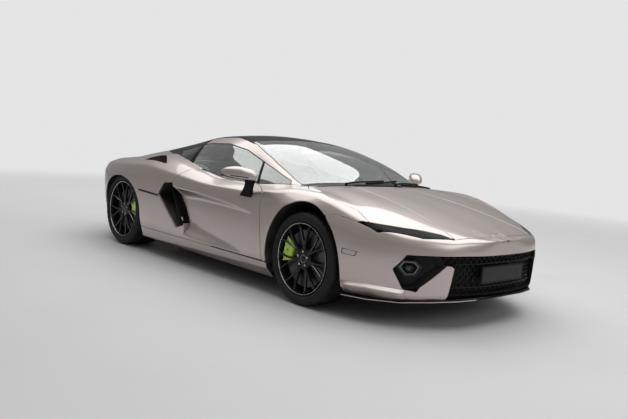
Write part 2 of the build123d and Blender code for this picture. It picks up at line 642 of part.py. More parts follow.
def make_rear():
    outer = join(hull(0, -250, -2300), canopy(0, -470, -2050))
    shell = cut(outer, hull(SKIN, -250, -2300), canopy(SKIN, -470, -2050))
    front_shell = cut(hull(0, 150, -950), hull(SKIN, 150, -950), canopy(0, 380, -1250))

    notches, pins, _ = lid_parts()
    lid_room = plan_prism(lid_outline(), 600, FAR)
    lid_plan = plan_prism(grown(lid_outline(), -SHUT_GAP), 600, FAR)
    hinge_gap = block(px(LID_FRONT_X) - HINGE_GAP, px(LID_FRONT_X), -FAR, FAR, 0, FAR)
    NODES["engine_lid"] = join(cut(common(shell, lid_plan), hinge_gap, notches), pins)

    ahead = block(px(LID_FRONT_X), px(900), -FAR, FAR, 0, FAR)
    behind = block(px(TAIL_SPLIT_X), -FAR * 2, -FAR, FAR, 0, FAR)
    sail_room = cut(plan_prism(SAIL_PLAN, 700, FAR), lid_room)
    quarter_pane = side_prism(rear_quarter_outline(), 400, FAR)
    intake = side_prism(INTAKE_SIDE, 500, FAR)
    sill_room = block(px(1300), px(-1500), 0, FAR, -50, pz(SILL_TOP_Z))
    belly = block(px(0), px(-2000), 0, CABIN_HALF, 0, 420)
    NODES["sails"] = both(cut(common(cut(shell, ahead), sail_room), quarter_pane))

    upper = cut(shell, ahead, behind, lid_room, both(sail_room, quarter_pane))
    shoulder = common(front_shell, block(px(LID_FRONT_X), px(200), DOOR_TOP_Y, FAR, 0, FAR))
    half = cut(common(upper, block(px(-500), px(-2300), 0, FAR, 0, FAR)), belly)
    quarter = cut(join(half, shoulder), door_room(), intake, rear_arch(), sill_room)
    quarter = [piece for piece in solids(quarter) if piece.volume > 1e5]
    deck = common(upper, block(px(LID_REAR_X), px(TAIL_SPLIT_X), -LID_HALF, LID_HALF, 600, FAR))
    NODES["rear_quarters"] = both(cut(quarter, deck))
    NODES["tail_deck"] = deck

    tail = cut(common(shell, behind), rear_arch())
    lamps = both(front_prism(TAIL_LAMP_REAR, -FAR * 2, px(-2200)))
    panel = front_prism(TAIL_PANEL_REAR, -FAR * 2, px(-2200))
    panel = join(panel, mirrored(panel))
    tunnel = front_prism(DIFFUSER_REAR, -FAR * 2, px(-1900))
    tunnel = join(tunnel, mirrored(tunnel))
    tail_belly = block(px(-1900), px(-2150), -CABIN_HALF, CABIN_HALF, 0, 330)
    NODES["tail_lamps"] = common(shell, lamps)
    NODES["rear_bumper"] = cut(tail, panel, lamps, tunnel, tail_belly)
    backing = cut(hull(SKIN, -2200, -2300), hull(2 * SKIN, -2200, -2300))
    pipes = [cylinder_x(PIPE_RADIUS + RUNNING_GAP, -FAR * 2, 0, y, PIPE_Z) for y in (-PIPE_Y, PIPE_Y)]
    NODES["tail_grille"] = cut(common(backing, join(panel)), pipes)


def cylinder_x(radius, x0, x1, y, z):
    return Solid.make_cylinder(radius, x1 - x0, Plane((x0, y, z), x_dir=(0, 1, 0), z_dir=(1, 0, 0)))


def make_rear_trim():
    tail_x = REAR_AXLE_X - REAR_OVERHANG
    pipes = []
    for y in (-PIPE_Y, PIPE_Y):
        pipes += cut(cylinder_x(PIPE_RADIUS, tail_x, tail_x + 240, y, PIPE_Z),
                     cylinder_x(PIPE_RADIUS - 6, tail_x, tail_x + 200, y, PIPE_Z))
    box = block(tail_x + 230, tail_x + 400, -420, 420, PIPE_Z - 90, PIPE_Z + 90)
    NODES["exhaust"] = join(box, pipes)
    slope = ((-1780, 156), (-1890, 156), (-2288, 300), (-2288, 314), (-1895, 170), (-1780, 170))
    plate = side_prism(slope, -DIFFUSER_HALF, DIFFUSER_HALF)
    fins = []
    for y in DIFFUSER_FINS:
        fin = ((-1960, 172), (-2288, 310), (-2288, 190), (-2000, 128))
        fins.append(side_prism(fin, y - 4, y + 4))
    NODES["diffuser"] = join(plate, fins)


def make_sills():
    side = ((FRONT_AXLE_X - FRONT_ARCH_HALF, 0), (REAR_AXLE_X + REAR_ARCH_HALF - 60, 0))
    room = block(side[0][0], side[1][0], CABIN_HALF, FAR, 0, pz(SILL_TOP_Z))
    NODES["side_skirts"] = both(cut(common(hull(0, 1060, -1396), room), rear_arch(), front_arch()))
    duct = common(side_prism(grown(INTAKE_SIDE, 14), CABIN_HALF + 10, FAR), hull(SKIN, 150, -950))
    bore = side_prism(grown(INTAKE_SIDE, -2), CABIN_HALF + 30, FAR)
    NODES["side_ducts"] = both(cut(duct, bore, side_prism(DOOR_SIDE, 300, FAR), scoop()))


# ---- structure and cabin ----------------------------------------------------------------
def make_structure():
    floor = block(CABIN_REAR - WALL, CABIN_FRONT + WALL, -CABIN_HALF, CABIN_HALF, FLOOR_Z, FLOOR_Z + WALL)
    tunnel = block(CABIN_REAR, CABIN_FRONT, -TUNNEL_HALF, TUNNEL_HALF, FLOOR_Z, TUNNEL_Z)
    NODES["floor_pan"] = join(floor, tunnel)
    low = FLOOR_Z + WALL
    fire_wall = block(CABIN_FRONT, CABIN_FRONT + WALL, -CABIN_HALF, CABIN_HALF, low, pz(760))
    rear_wall = block(CABIN_REAR - WALL, CABIN_REAR, -CABIN_HALF, CABIN_HALF, low, pz(800))
    NODES["bulkheads"] = [fire_wall, rear_wall]

    nose_half = FRUNK_HALF + WALL
    tub_side = ((868, FRUNK_Z - WALL), (1990, FRUNK_Z - WALL), (1990, 590), (1500, 700), (1100, 770),
                (868, 770))
    inside = block(px(868) + WALL, px(1990) - WALL, -FRUNK_HALF, FRUNK_HALF, FRUNK_Z, FAR)
    boss = cylinder_x(TOW_BOSS_RADIUS, px(1980), TOW_SOCKET_X, -TOW_SOCKET_Y, TOW_SOCKET_Z)
    socket = cylinder_x(TOW_SOCKET_RADIUS, TOW_SOCKET_X - TOW_SOCKET_DEPTH, TOW_SOCKET_X, -TOW_SOCKET_Y,
                        TOW_SOCKET_Z)
    shell = cut(side_prism(tub_side, -nose_half, nose_half), inside)
    low_part = block(px(868), px(1990), -nose_half, nose_half, FRUNK_Z - WALL, FRUNK_Z)
    sides = both(block(px(868), px(1990), FRUNK_HALF, nose_half, FRUNK_Z, FAR))
    front = join(cut(shell, low_part, sides), boss)
    parts = (cut(common(shell, low_part), front), cut(common(shell, sides), front), cut(front, socket))
    taken = [NODES[name] for name in ("front_splitter", "front_bumper", "floor_pan", "bulkheads")]
    NODES["front_tub"] = [solid for part in parts for solid in cut(part, *taken)]

    rails = both(block(px(-1890), CABIN_REAR - WALL, RAIL_Y, RAIL_Y + 60, pz(170), 250))
    crosses = [block(x - 30, x + 30, -RAIL_Y - 60, RAIL_Y + 60, pz(170), 210)
               for x in (px(-700), px(-1150), px(-1700), px(-1860))]
    towers = both(block(REAR_AXLE_X - 120, REAR_AXLE_X + 120, RAIL_Y + 20, RAIL_Y + 60, 200,
                        REAR_TYRE_RADIUS + ARM_RISE + 20))
    tray = block(px(-1770), CABIN_REAR - WALL, -RAIL_Y - 60, RAIL_Y + 60, pz(170) - 12, pz(170))
    NODES["rear_frame"] = join(rails, crosses, towers, tray)

    posts = block(px(640), CABIN_FRONT, CABIN_HALF - 30, CABIN_HALF, low, pz(620))
    for z, _ in door_hinges():
        y0, x, y = CABIN_HALF - 10, DOOR_HINGE_X, DOOR_HINGE_Y
        z0, z1 = z - DOOR_EAR / 2, z + DOOR_EAR / 2
        arm = join(block(x - 8, x + 8, y0, y, z0, z1), cylinder_z(EAR_RADIUS + 4, x, y, z0, z1))
        posts = join(posts, cut(arm, cylinder_z(DOOR_PIN_RADIUS + RUNNING_GAP, x, y, z0, z1)))
    NODES["hinge_posts"] = both(posts)


def make_cabin():
    seat_side = ((420, 120), (420, 330), (-60, 290), (-330, 800), (-400, 790), (-400, 700), (-190, 120))
    seat = side_prism(seat_side, SEAT_Y - SEAT_WIDTH / 2, SEAT_Y + SEAT_WIDTH / 2)
    NODES["seats"] = both(cut(seat, NODES["floor_pan"], NODES["bulkheads"]))
    dash_side = ((875, 780), (640, 790), (540, 760), (520, 700), (600, 560), (875, 520))
    NODES["dashboard"] = cut(side_prism(dash_side, -DASH_HALF, DASH_HALF), NODES["bulkheads"],
                             NODES["front_tub"])
    hoop = Solid.make_torus(STEERING_WHEEL_RADIUS, 15)
    boss = Solid.make_cylinder(52, 40, Plane((0, 0, -16)))
    column = Solid.make_cylinder(28, 170)
    bar = block(-STEERING_WHEEL_RADIUS, STEERING_WHEEL_RADIUS, -17, 17, -8, 8)
    lean = math.radians(STEERING_LEAN)
    place = Plane(origin=(px(400), SEAT_Y, pz(690)), x_dir=(0, 1, 0),
                  z_dir=(math.cos(lean), 0, -math.sin(lean))).location
    wheel = [piece.moved(place) for piece in join(hoop, bar, boss, column)]
    NODES["steering_wheel"] = wheel
    NODES["dashboard"] = cut(NODES["dashboard"], wheel)


def make_engine():
    engine = block(px(-620), px(-1180), -300, 300, 210, 720)
    gearbox = block(px(-1180), px(-1760), -170, 170, 210, 520)
    NODES["engine_block"] = join(engine, gearbox)


# ---- running gear -----------------------------------------------------------------------
# One row is one axle: name, x, track, tyre radius, tyre width, rim radius, disc radius,
# how far the disc and the spokes' back stand out from the wheel's middle, caliper's angle
AXLES = (
    ("front", FRONT_AXLE_X, FRONT_TRACK, FRONT_TYRE_RADIUS, FRONT_TYRE_WIDTH, FRONT_RIM_RADIUS,
     FRONT_DISC_RADIUS, 40.0, 98.0, 168.0),
    ("rear", REAR_AXLE_X, REAR_TRACK, REAR_TYRE_RADIUS, REAR_TYRE_WIDTH, REAR_RIM_RADIUS,
     REAR_DISC_RADIUS, 62.0, 125.0, 12.0),
)


def spun(profile):
    """Turn a closed profile of radius and y about the Y axis."""
    return Solid.revolve(Face(ring([(radius, y, 0) for radius, y in profile])), 360, Axis.Y)


def make_tyre(radius, width, rim_radius):
    half = width / 2
    side = ((rim_radius, half - 14), (rim_radius + 22, half - 2), (rim_radius + 42, half),
            (radius - 22, half - 4), (radius - 5, half - 20), (radius, half - 44))
    return spun(side + tuple((r, -y) for r, y in reversed(side)))


def make_rim(width, rim_radius, disc_at, spokes_at):
    """Barrel, hub and pairs of spokes that part towards the barrel."""
    half = width / 2
    inside = rim_radius - RIM_BARREL
    barrel = spun(((rim_radius, 14 - half), (rim_radius, half - 8), (inside, half - 8), (inside, 14 - half)))
    hub = Solid.make_cylinder(HUB_RADIUS, spokes_at + SPOKE_DEPTH - 4 - disc_at,
                              Plane((0, disc_at, 0), x_dir=(1, 0, 0), z_dir=(0, 1, 0)))
    spokes = []
    for pair in range(SPOKE_PAIRS):
        for lean in (-1, 1):
            middle = 2 * math.pi * pair / SPOKE_PAIRS
            root = (HUB_RADIUS - 14, middle + lean * SPOKE_ROOT_TURN)
            tip = (inside + RIM_BARREL / 2, middle + lean * SPOKE_TIP_TURN)
            corners = []
            for (radius, angle), reach in ((root, -17), (root, 17), (tip, 12), (tip, -12)):
                turn = angle + reach / radius
                corners.append((radius * math.cos(turn), spokes_at, radius * math.sin(turn)))
            spokes.append(Solid.extrude(Face(ring(corners)), Vector(0, SPOKE_DEPTH, 0)))
    bore = Solid.make_cylinder(SPINDLE_RADIUS + RUNNING_GAP, spokes_at - disc_at,
                               Plane((0, disc_at, 0), x_dir=(1, 0, 0), z_dir=(0, 1, 0)))
    return cut(join(barrel, hub, spokes), bore)


def make_caliper(disc_radius, disc_at, spokes_at, angle):
    """Block that straddles the disc over part of its edge."""
    outer, inner = disc_radius + 27, disc_radius - 82
    y0, y1 = disc_at - CALIPER_GAP - 14, spokes_at - 6
    body = spun(((outer, y0), (outer, y1), (inner, y1), (inner, y0)))
    slot = spun(((disc_radius + CALIPER_GAP, disc_at - CALIPER_GAP),
                 (disc_radius + CALIPER_GAP, disc_at + DISC_THICKNESS + CALIPER_GAP),
                 (inner - 1, disc_at + DISC_THICKNESS + CALIPER_GAP), (inner - 1, disc_at - CALIPER_GAP)))
    rays = []
    for turn in (angle - CALIPER_SPREAD, angle + CALIPER_SPREAD):
        reach = outer * 1.3
        rays.append((reach * math.cos(math.radians(turn)), y0 - 1, reach * math.sin(math.radians(turn))))
    wedge = Solid.extrude(Face(ring([(0, y0 - 1, 0)] + rays)), Vector(0, y1 - y0 + 2, 0))
    return common(cut(body, slot), wedge)


def make_arm(axle_x, wall_y, pin_y, z, eye=True):
    """Wishbone from the body's side out to its eye."""
    plan = ((axle_x + 105, wall_y), (axle_x - 105, wall_y), (axle_x - 17, pin_y), (axle_x + 17, pin_y))
    face = Face(ring([(x, y, z - ARM_THICKNESS / 2) for x, y in plan]))
    plate = Solid.extrude(face, Vector(0, 0, ARM_THICKNESS))
    lean_out = ((axle_x + 52, wall_y + 34), (axle_x - 52, wall_y + 34), (axle_x - 14, pin_y - 86),
                (axle_x + 14, pin_y - 86))
    gap = Solid.extrude(Face(ring([(x, y, z - 40) for x, y in lean_out])), Vector(0, 0, 80))
    arm = cut(plate, gap)
    if not eye:
        return arm
    z0, z1 = z - ARM_THICKNESS / 2, z + ARM_THICKNESS / 2
    return cut(join(arm, cylinder_z(KINGPIN_RADIUS + 11, axle_x, pin_y, z0, z1)),
               cylinder_z(KINGPIN_RADIUS + RUNNING_GAP, axle_x, pin_y, z0, z1))


def make_wheels():
    arms, rear_calipers = [], []
    for (name, axle_x, track, radius, width, rim_radius, disc_radius, disc_at, spokes_at,
         caliper_angle) in AXLES:
        place = Location((axle_x, track / 2, radius))
        tyre = make_tyre(radius, width, rim_radius)
        rim = make_rim(width, rim_radius, disc_at, spokes_at)
        disc = spun(((HUB_RADIUS, disc_at), (disc_radius, disc_at), (disc_radius, disc_at + DISC_THICKNESS),
                     (HUB_RADIUS, disc_at + DISC_THICKNESS)))
        for piece, shape in (("tyre", tyre), ("rim", rim), ("disc", disc)):
            left = [solid.moved(place) for solid in solids(shape)]
            NODES[piece + "_" + name + "_left"] = left
            NODES[piece + "_" + name + "_right"] = mirrored(left)
        caliper = make_caliper(disc_radius, disc_at, spokes_at, caliper_angle)
        caliper = [solid.moved(place) for solid in caliper]
        middle = track / 2
        side = math.copysign(1, math.cos(math.radians(caliper_angle)))
        spindle = cylinder_y(SPINDLE_RADIUS, axle_x, middle, middle + spokes_at - 6, radius)
        bracket_x = (axle_x + side * 30, axle_x + side * (disc_radius - 60))
        bracket_y = middle + disc_at - CALIPER_GAP - 14
        bracket = block(bracket_x[0], bracket_x[1], bracket_y - 22, bracket_y, radius - 26, radius + 26)
        if name == "front":
            upright = block(axle_x - 42, axle_x + 42, middle - 30, middle + 30, radius - 96, radius + 96)
            pin = cylinder_z(KINGPIN_RADIUS, axle_x, middle, radius - 150, radius + 150)
            knuckle = join(upright, pin, spindle, bracket)
            NODES["knuckle_left"] = knuckle
            NODES["knuckle_right"] = mirrored(knuckle)
            NODES["caliper_left"] = caliper
            NODES["caliper_right"] = mirrored(caliper)
            for z in (radius + ARM_RISE, radius - ARM_RISE):
                arms += make_arm(axle_x, FRUNK_HALF + WALL, middle, z)
        else:
            upright = block(axle_x - 42, axle_x + 42, middle - 40, middle + 44, radius - 137, radius + 137)
            pair = [make_arm(axle_x, RAIL_Y + 60, middle, z, False)
                    for z in (radius + ARM_RISE, radius - ARM_RISE)]
            arms += join(upright, pair, spindle, bracket)
            rear_calipers = both(caliper)
    NODES["suspension"] = both(arms)
    NODES["calipers_rear"] = rear_calipers


def write_parts():
    os.makedirs("parts", exist_ok=True)
    for build in (make_front, make_front_trim, make_structure, make_cabin, make_doors, make_greenhouse,
                  make_rear, make_rear_trim, make_sills, make_engine, make_wheels):
        build()
    for name, shapes in NODES.items():
        export_step(Compound(solids(*shapes)), "parts/" + name + ".step")


if __name__ == "__main__":
    write_parts()
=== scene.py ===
"""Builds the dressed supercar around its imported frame: panels, glass, lamps, wheels, cabin and stage."""

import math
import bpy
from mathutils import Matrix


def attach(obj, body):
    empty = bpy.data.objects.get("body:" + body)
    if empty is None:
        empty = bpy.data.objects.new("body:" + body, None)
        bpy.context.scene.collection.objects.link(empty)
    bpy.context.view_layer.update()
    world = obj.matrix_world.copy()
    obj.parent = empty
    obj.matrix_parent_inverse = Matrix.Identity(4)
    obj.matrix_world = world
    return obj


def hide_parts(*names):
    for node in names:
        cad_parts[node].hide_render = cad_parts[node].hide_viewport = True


bl_info = {
    "name": "Supercar Builder",
    "version": (1, 0, 0),
    "blender": (4, 5, 0),
    "location": "View3D > Sidebar > Supercar",
    "description": "Dresses the packed supercar with panels, glass, lamps, wheels and a cabin",
    "category": "Object",
}

import bpy
import numpy as np
from bpy.props import FloatProperty, FloatVectorProperty, PointerProperty
from mathutils import Matrix, Vector
from mathutils.bvhtree import BVHTree

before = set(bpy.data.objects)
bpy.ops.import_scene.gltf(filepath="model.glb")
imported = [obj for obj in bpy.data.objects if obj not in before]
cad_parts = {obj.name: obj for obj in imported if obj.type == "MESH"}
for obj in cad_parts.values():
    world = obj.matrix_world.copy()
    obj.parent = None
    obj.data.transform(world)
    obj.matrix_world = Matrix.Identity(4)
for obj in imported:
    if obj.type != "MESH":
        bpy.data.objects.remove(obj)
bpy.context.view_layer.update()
MM = 0.001
FAR = 9000.0


# ---- lines of the body, in millimetres: +X ahead, +Y left, +Z up -------------------------------
# Lower body. One row is one half section: x, then y and z of floor, rocker, side, shoulder,
# crest, belt and mid, and z on the centre line
HULL = (
    (2302, 0, 238, 0, 264, 0, 400, 0, 524, 0, 566, 0, 592, 0, 596, 597),
    (2300, 150, 235, 170, 262, 190, 400, 190, 525, 175, 562, 140, 586, 70, 592, 594),
    (2250, 400, 210, 430, 242, 450, 400, 450, 530, 425, 572, 370, 594, 190, 606, 608),
    (2150, 570, 192, 600, 226, 625, 400, 620, 535, 590, 585, 500, 614, 260, 632, 637),
    (2010, 710, 180, 740, 216, 770, 400, 768, 545, 735, 605, 625, 646, 320, 668, 671),
    (1830, 810, 174, 850, 214, 880, 400, 877, 560, 838, 645, 700, 688, 350, 714, 716),
    (1640, 855, 165, 910, 214, 945, 400, 942, 600, 880, 715, 730, 736, 360, 754, 757),
    (1450, 870, 135, 940, 200, 972, 380, 970, 650, 895, 778, 730, 776, 370, 786, 789),
    (1262, 870, 120, 945, 195, 984, 360, 982, 695, 890, 808, 725, 804, 380, 812, 815),
    (1060, 870, 120, 945, 195, 984, 340, 978, 690, 895, 805, 740, 816, 400, 836, 839),
    (855, 870, 120, 945, 195, 980, 300, 968, 660, 925, 770, 800, 815, 420, 845, 850),
    (510, 870, 120, 940, 185, 980, 270, 964, 650, 940, 735, 860, 785, 420, 850, 862),
    (150, 870, 120, 940, 175, 984, 265, 972, 655, 952, 735, 868, 782, 420, 850, 868),
    (-250, 870, 120, 942, 165, 988, 270, 984, 665, 965, 755, 868, 825, 420, 872, 885),
    (-610, 870, 120, 945, 155, 993, 290, 995, 685, 970, 785, 855, 880, 430, 930, 940),
    (-950, 870, 120, 948, 150, 998, 330, 1000, 700, 960, 815, 800, 905, 430, 950, 955),
    (-1396, 870, 125, 950, 170, 998, 400, 998, 690, 940, 800, 740, 870, 430, 905, 910),
    (-1700, 850, 150, 915, 200, 958, 420, 962, 680, 900, 780, 700, 842, 420, 862, 868),
    (-1960, 780, 210, 825, 240, 862, 440, 866, 680, 810, 768, 650, 818, 410, 832, 838),
    (-2200, 660, 270, 700, 300, 738, 460, 745, 675, 705, 752, 590, 796, 390, 808, 814),
    (-2300, 560, 330, 600, 350, 640, 480, 650, 665, 630, 730, 540, 770, 360, 784, 790),
)
HULL_ROUND = (6, 10, 40, 14, 55, 70, 160)      # rounding at floor, rocker, side ... mid
HULL_CROWN = (0, 2, 5, 4, 3, 6, 3)             # bulge of the facet above each of them
# Greenhouse and rear deck: x, z on the centre, then y and z of edge, cant and base
CANOPY = (
    (1100, 790, 650, 765, 705, 740, 790, 640),
    (870, 872, 690, 850, 742, 826, 835, 700),
    (610, 992, 672, 965, 726, 908, 850, 740),
    (380, 1078, 625, 1044, 686, 968, 850, 740),
    (150, 1140, 555, 1108, 645, 1026, 850, 740),
    (-150, 1176, 490, 1146, 618, 1062, 850, 745),
    (-470, 1164, 475, 1124, 602, 1046, 850, 760),
    (-850, 1088, 475, 1048, 602, 968, 820, 800),
    (-1250, 992, 480, 968, 615, 895, 780, 800),
    (-1700, 892, 490, 886, 610, 842, 700, 750),
    (-2050, 822, 490, 816, 600, 780, 660, 700),
)
CANOPY_ROUND = (10, 20, 26, 40)                # at foot, base, cant and edge
CANOPY_CROWN = (0, 9, 3, 6)
CANOPY_FOOT_Z = 600

# Outlines of half the car. Plans hold x, y; side views x, z; front and rear views y, z.
HOOD_PLAN = ((1095, -90), (1095, 290), (1720, 372), (2198, 463), (2228, 300), (2238, 70), (2190, 45),
             (2190, -90))
BONNET_SIDE_PLAN = ((2198, 463), (1720, 372), (1095, 290), (1010, 290), (1010, 700), (1130, 800),
                    (1300, 850), (1450, 868), (1646, 815), (1776, 842), (1949, 693), (2118, 508),
                    (2190, 485))
LAMP_PLAN = ((1714, 884), (1776, 842), (1949, 693), (2118, 508), (2198, 463), (2090, 652), (1864, 840))
COWL_PLAN = ((1095, -90), (1095, 290), (1010, 290), (1010, 700), (860, 700), (860, -90))
FENDER_SIDE = ((1776, 655), (1714, 658), (1550, 690), (1400, 640), (1262, 500), (1262, 0), (852, 0),
               (852, 246), (846, 300), (766, 749), (600, 800), (560, 860), (560, 1000), (1776, 1000))
DOOR_SIDE = ((852, 246), (846, 300), (766, 749), (600, 800), (560, 860), (-280, 900), (-330, 835),
             (-440, 700), (-397, 620), (-209, 368), (-207, 246))
INTAKE_SIDE = ((-566, 690), (-654, 576), (-340, 318), (-212, 362), (-397, 620), (-440, 700))
SPLITTER_PLAN = ((1640, 905), (1830, 862), (2015, 736), (2160, 590), (2255, 440), (2300, 250))
VENT_PLAN = ((-1175, 868), (-1000, 728), (-690, 903))
MARKER_SIDE = ((1652, 480), (1764, 472), (1747, 438), (1652, 444))
SAIL_PLAN = ((-560, 400), (-1300, 400), (-1296, 532), (-930, 658), (-560, 770))
MOUTH_FRONT = ((-90, 494), (430, 498), (744, 488), (794, 389), (736, 262), (640, 246), (520, 150),
               (-90, 150))
VANE_FRONT = ((539, 437), (487, 428), (512, 150), (690, 150), (668, 281))
TAIL_LAMP_REAR = ((560, 690), (600, 640), (560, 590), (430, 590), (390, 640), (430, 690))
TAIL_PANEL_REAR = ((-90, 720), (560, 712), (610, 650), (560, 560), (470, 470), (-90, 470))
DIFFUSER_REAR = ((-90, 430), (430, 430), (520, 300), (470, 180), (-90, 180))
SILL_TOP_Z, SILL_FRONT_X, SILL_REAR_X = 240, 888, -966
DOOR_TOP_Y = 735
# Least height or width at which a region starts
UPPER_Z, SAIL_Z, VENT_Z, PANE_Y, FENDER_Y = 480, 700, 780, 400, 300
MOUTH_X, LAMPS_REAR_X, DIFFUSER_X = 1700, -2200, -1900
LOUVRES = tuple(-830 - 125 * i for i in range(7))
LOUVRE_Y, LOUVRE_HALF, LOUVRE_LONG = 195, 145, 62
BLADE_FRONT, BLADE_REAR = 36, 2   # of each blade; the rear of its slot stays open
SCREEN_TOP_X = 110
ROOF_REAR_X = -570
LID_FRONT_X = -600
LID_REAR_X = -1900
LID_HALF = 420
TAIL_SPLIT_X = -1965
GLASS_DROP = -12
NOSE_X, TAIL_X = 2300, -2294

# Wheels. One row is one axle: x, track, tyre radius and width, rim radius, disc radius, how far
# the disc and the spokes' back stand out from the wheel's middle, and the caliper's angle
AXLES = {
    "front": (1262, 1645, 333, 265, 258, 205, 40, 98, 168),
    "rear": (-1396, 1585, 348, 325, 271, 195, 62, 125, 12),
}
ARCHES = ((1262, 371, 741, 333), (-1396, 430, 678, 348))     # x, half length, top, rise
SIDES = (("left", 1), ("right", -1))


# ---- smooth skins from rows of points ----------------------------------------------------------
def through(stations, values, at):
    """Curve through rows of values at stations that never overshoots between them."""
    gaps = np.diff(stations)[:, None]
    slopes = np.diff(values, axis=0) / gaps
    left, right = slopes[:-1], slopes[1:]
    near, far = 2 * gaps[1:] + gaps[:-1], gaps[1:] + 2 * gaps[:-1]
    same_way = left * right > 1e-12
    mean = (near + far) / (near / np.where(same_way, left, 1) + far / np.where(same_way, right, 1))
    tangents = np.vstack([slopes[:1], np.where(same_way, mean, 0), slopes[-1:]])
    i = np.clip(np.searchsorted(stations, at, side="right") - 1, 0, len(stations) - 2)
    h = gaps[i]
    t = ((at - stations[i]) / gaps[i, 0])[:, None]
    return (values[i] * (1 + 2 * t) * (1 - t) ** 2 + tangents[i] * h * t * (1 - t) ** 2
            + values[i + 1] * t * t * (3 - 2 * t) + tangents[i + 1] * h * t * t * (t - 1))


def eased(values, reach):
    """Average rows with their neighbours over about reach rows each way, with both ends held."""
    width = int(3 * reach)
    kernel = np.exp(-0.5 * (np.arange(-width, width + 1) / reach) ** 2)
    kernel /= kernel.sum()
    before = 2 * values[:1] - values[width:0:-1]
    after = 2 * values[-1:] - values[-2:-width - 2:-1]
    padded = np.vstack([before, values, after])
    return np.column_stack([np.convolve(column, kernel, "valid") for column in padded.T])


def rounded_sections(controls, rounds, spacing):
    """Sample each row of control points as straight runs joined by rounded corners."""
    ahead = controls[:, 1:] - controls[:, :-1]
    length = np.maximum(np.linalg.norm(ahead, axis=2, keepdims=True), 1e-6)
    way = ahead / length
    typical = np.median(length, axis=0)[:, 0]
    samples = [controls[:, 0]]
    last = controls[:, 0]
    count = controls.shape[1]
    for j in range(1, count - 1):
        reach = np.minimum(rounds[j], 0.45 * np.minimum(length[:, j - 1], length[:, j]))
        start, end = controls[:, j] - way[:, j - 1] * reach, controls[:, j] + way[:, j] * reach
        usual = min(rounds[j], 0.45 * min(typical[j - 1], typical[j]))
        flat = max(typical[j - 1] - usual, spacing)
        for k in range(1, max(int(round(flat / spacing)), 1)):
            samples.append(last + (start - last) * k / max(int(round(flat / spacing)), 1))
        steps = max(4, int(round(2 * usual / spacing)))
        stop = steps // 2 if j == count - 2 else steps
        for k in range(stop + 1):
            t = k / steps
            samples.append(start * (1 - t) ** 2 + controls[:, j] * 2 * t * (1 - t) + end * t * t)
        last = end
    return np.stack(samples, axis=1)


class Skin:
    """A smooth surface as a grid of points, with its normals."""

    def __init__(self, points):
        self.points = points
        self.along = np.gradient(points, axis=0)
        self.across = np.gradient(points, axis=1)
        normals = np.cross(self.along, self.across)
        normals /= np.maximum(np.linalg.norm(normals, axis=2, keepdims=True), 1e-9)
        facing = np.sum(normals * upward_and_out(points))
        self.normals = normals if facing > 0 else -normals
        self.flip = facing < 0
        self._tree = None

    @property
    def x(self):
        return self.points[..., 0]

    @property
    def y(self):
        return self.points[..., 1]

    @property
    def z(self):
        return self.points[..., 2]

    def quads(self):
        index = np.arange(self.x.size).reshape(self.x.shape)
        corners = [index[:-1, :-1], index[1:, :-1], index[1:, 1:], index[:-1, 1:]]
        quads = np.stack(corners, axis=-1).reshape(-1, 4)
        return quads[:, ::-1] if self.flip else quads

    def tree(self):
        if self._tree is None:
            self._tree = BVHTree.FromPolygons(self.points.reshape(-1, 3).tolist(), self.quads().tolist())
        return self._tree

    def beyond(self, points):
        """Distance of points outside this skin, below 0 inside."""
        found = np.empty(points.shape[:-1])
        flat = found.ravel()
        for i, point in enumerate(points.reshape(-1, 3)):
            spot, normal, _, _ = self.tree().find_nearest(point)
            flat[i] = (Vector(point) - spot).dot(normal)
        return flat.reshape(found.shape)

    def plan(self, outline):
        return from_outline(self.x, np.abs(self.y), outline)

    def side(self, outline):
        return from_outline(self.x, self.z, outline)

    def end(self, outline):
        return from_outline(np.abs(self.y), self.z, outline)

    def true(self, field):
        """Turn a field into a distance along the surface near where it is 0."""
        fu, fv = np.gradient(field, axis=0), np.gradient(field, axis=1)
        uu = np.sum(self.along ** 2, axis=2)
        vv = np.sum(self.across ** 2, axis=2)
        uv = np.sum(self.along * self.across, axis=2)
        slope = (fu * fu * vv - 2 * fu * fv * uv + fv * fv * uu) / np.maximum(uu * vv - uv * uv, 1e-6)
        return field / np.clip(np.sqrt(np.maximum(slope, 0)), 0.25, 4.0)


def from_outline(a, b, outline):
    """Distance of the points a, b from a closed outline, below 0 inside it."""
    nearest = np.full(a.shape, np.inf)
    inside = np.zeros(a.shape, bool)
    for (a0, b0), (a1, b1) in zip(outline, outline[1:] + outline[:1]):
        da, db = a1 - a0, b1 - b0
        t = np.clip(((a - a0) * da + (b - b0) * db) / (da * da + db * db), 0, 1)
        nearest = np.minimum(nearest, np.hypot(a - a0 - t * da, b - b0 - t * db))
        if db:
            crosses = ((b0 > b) != (b1 > b)) & (a < a0 + (b - b0) * da / db)
            inside ^= crosses
    return np.where(inside, -nearest, nearest)


def both_of(*fields):
    return np.maximum.reduce(fields)


def any_of(*fields):
    return np.minimum.reduce(fields)


def cut_out(field, *holes):
    return np.maximum.reduce((field,) + tuple(-hole for hole in holes))


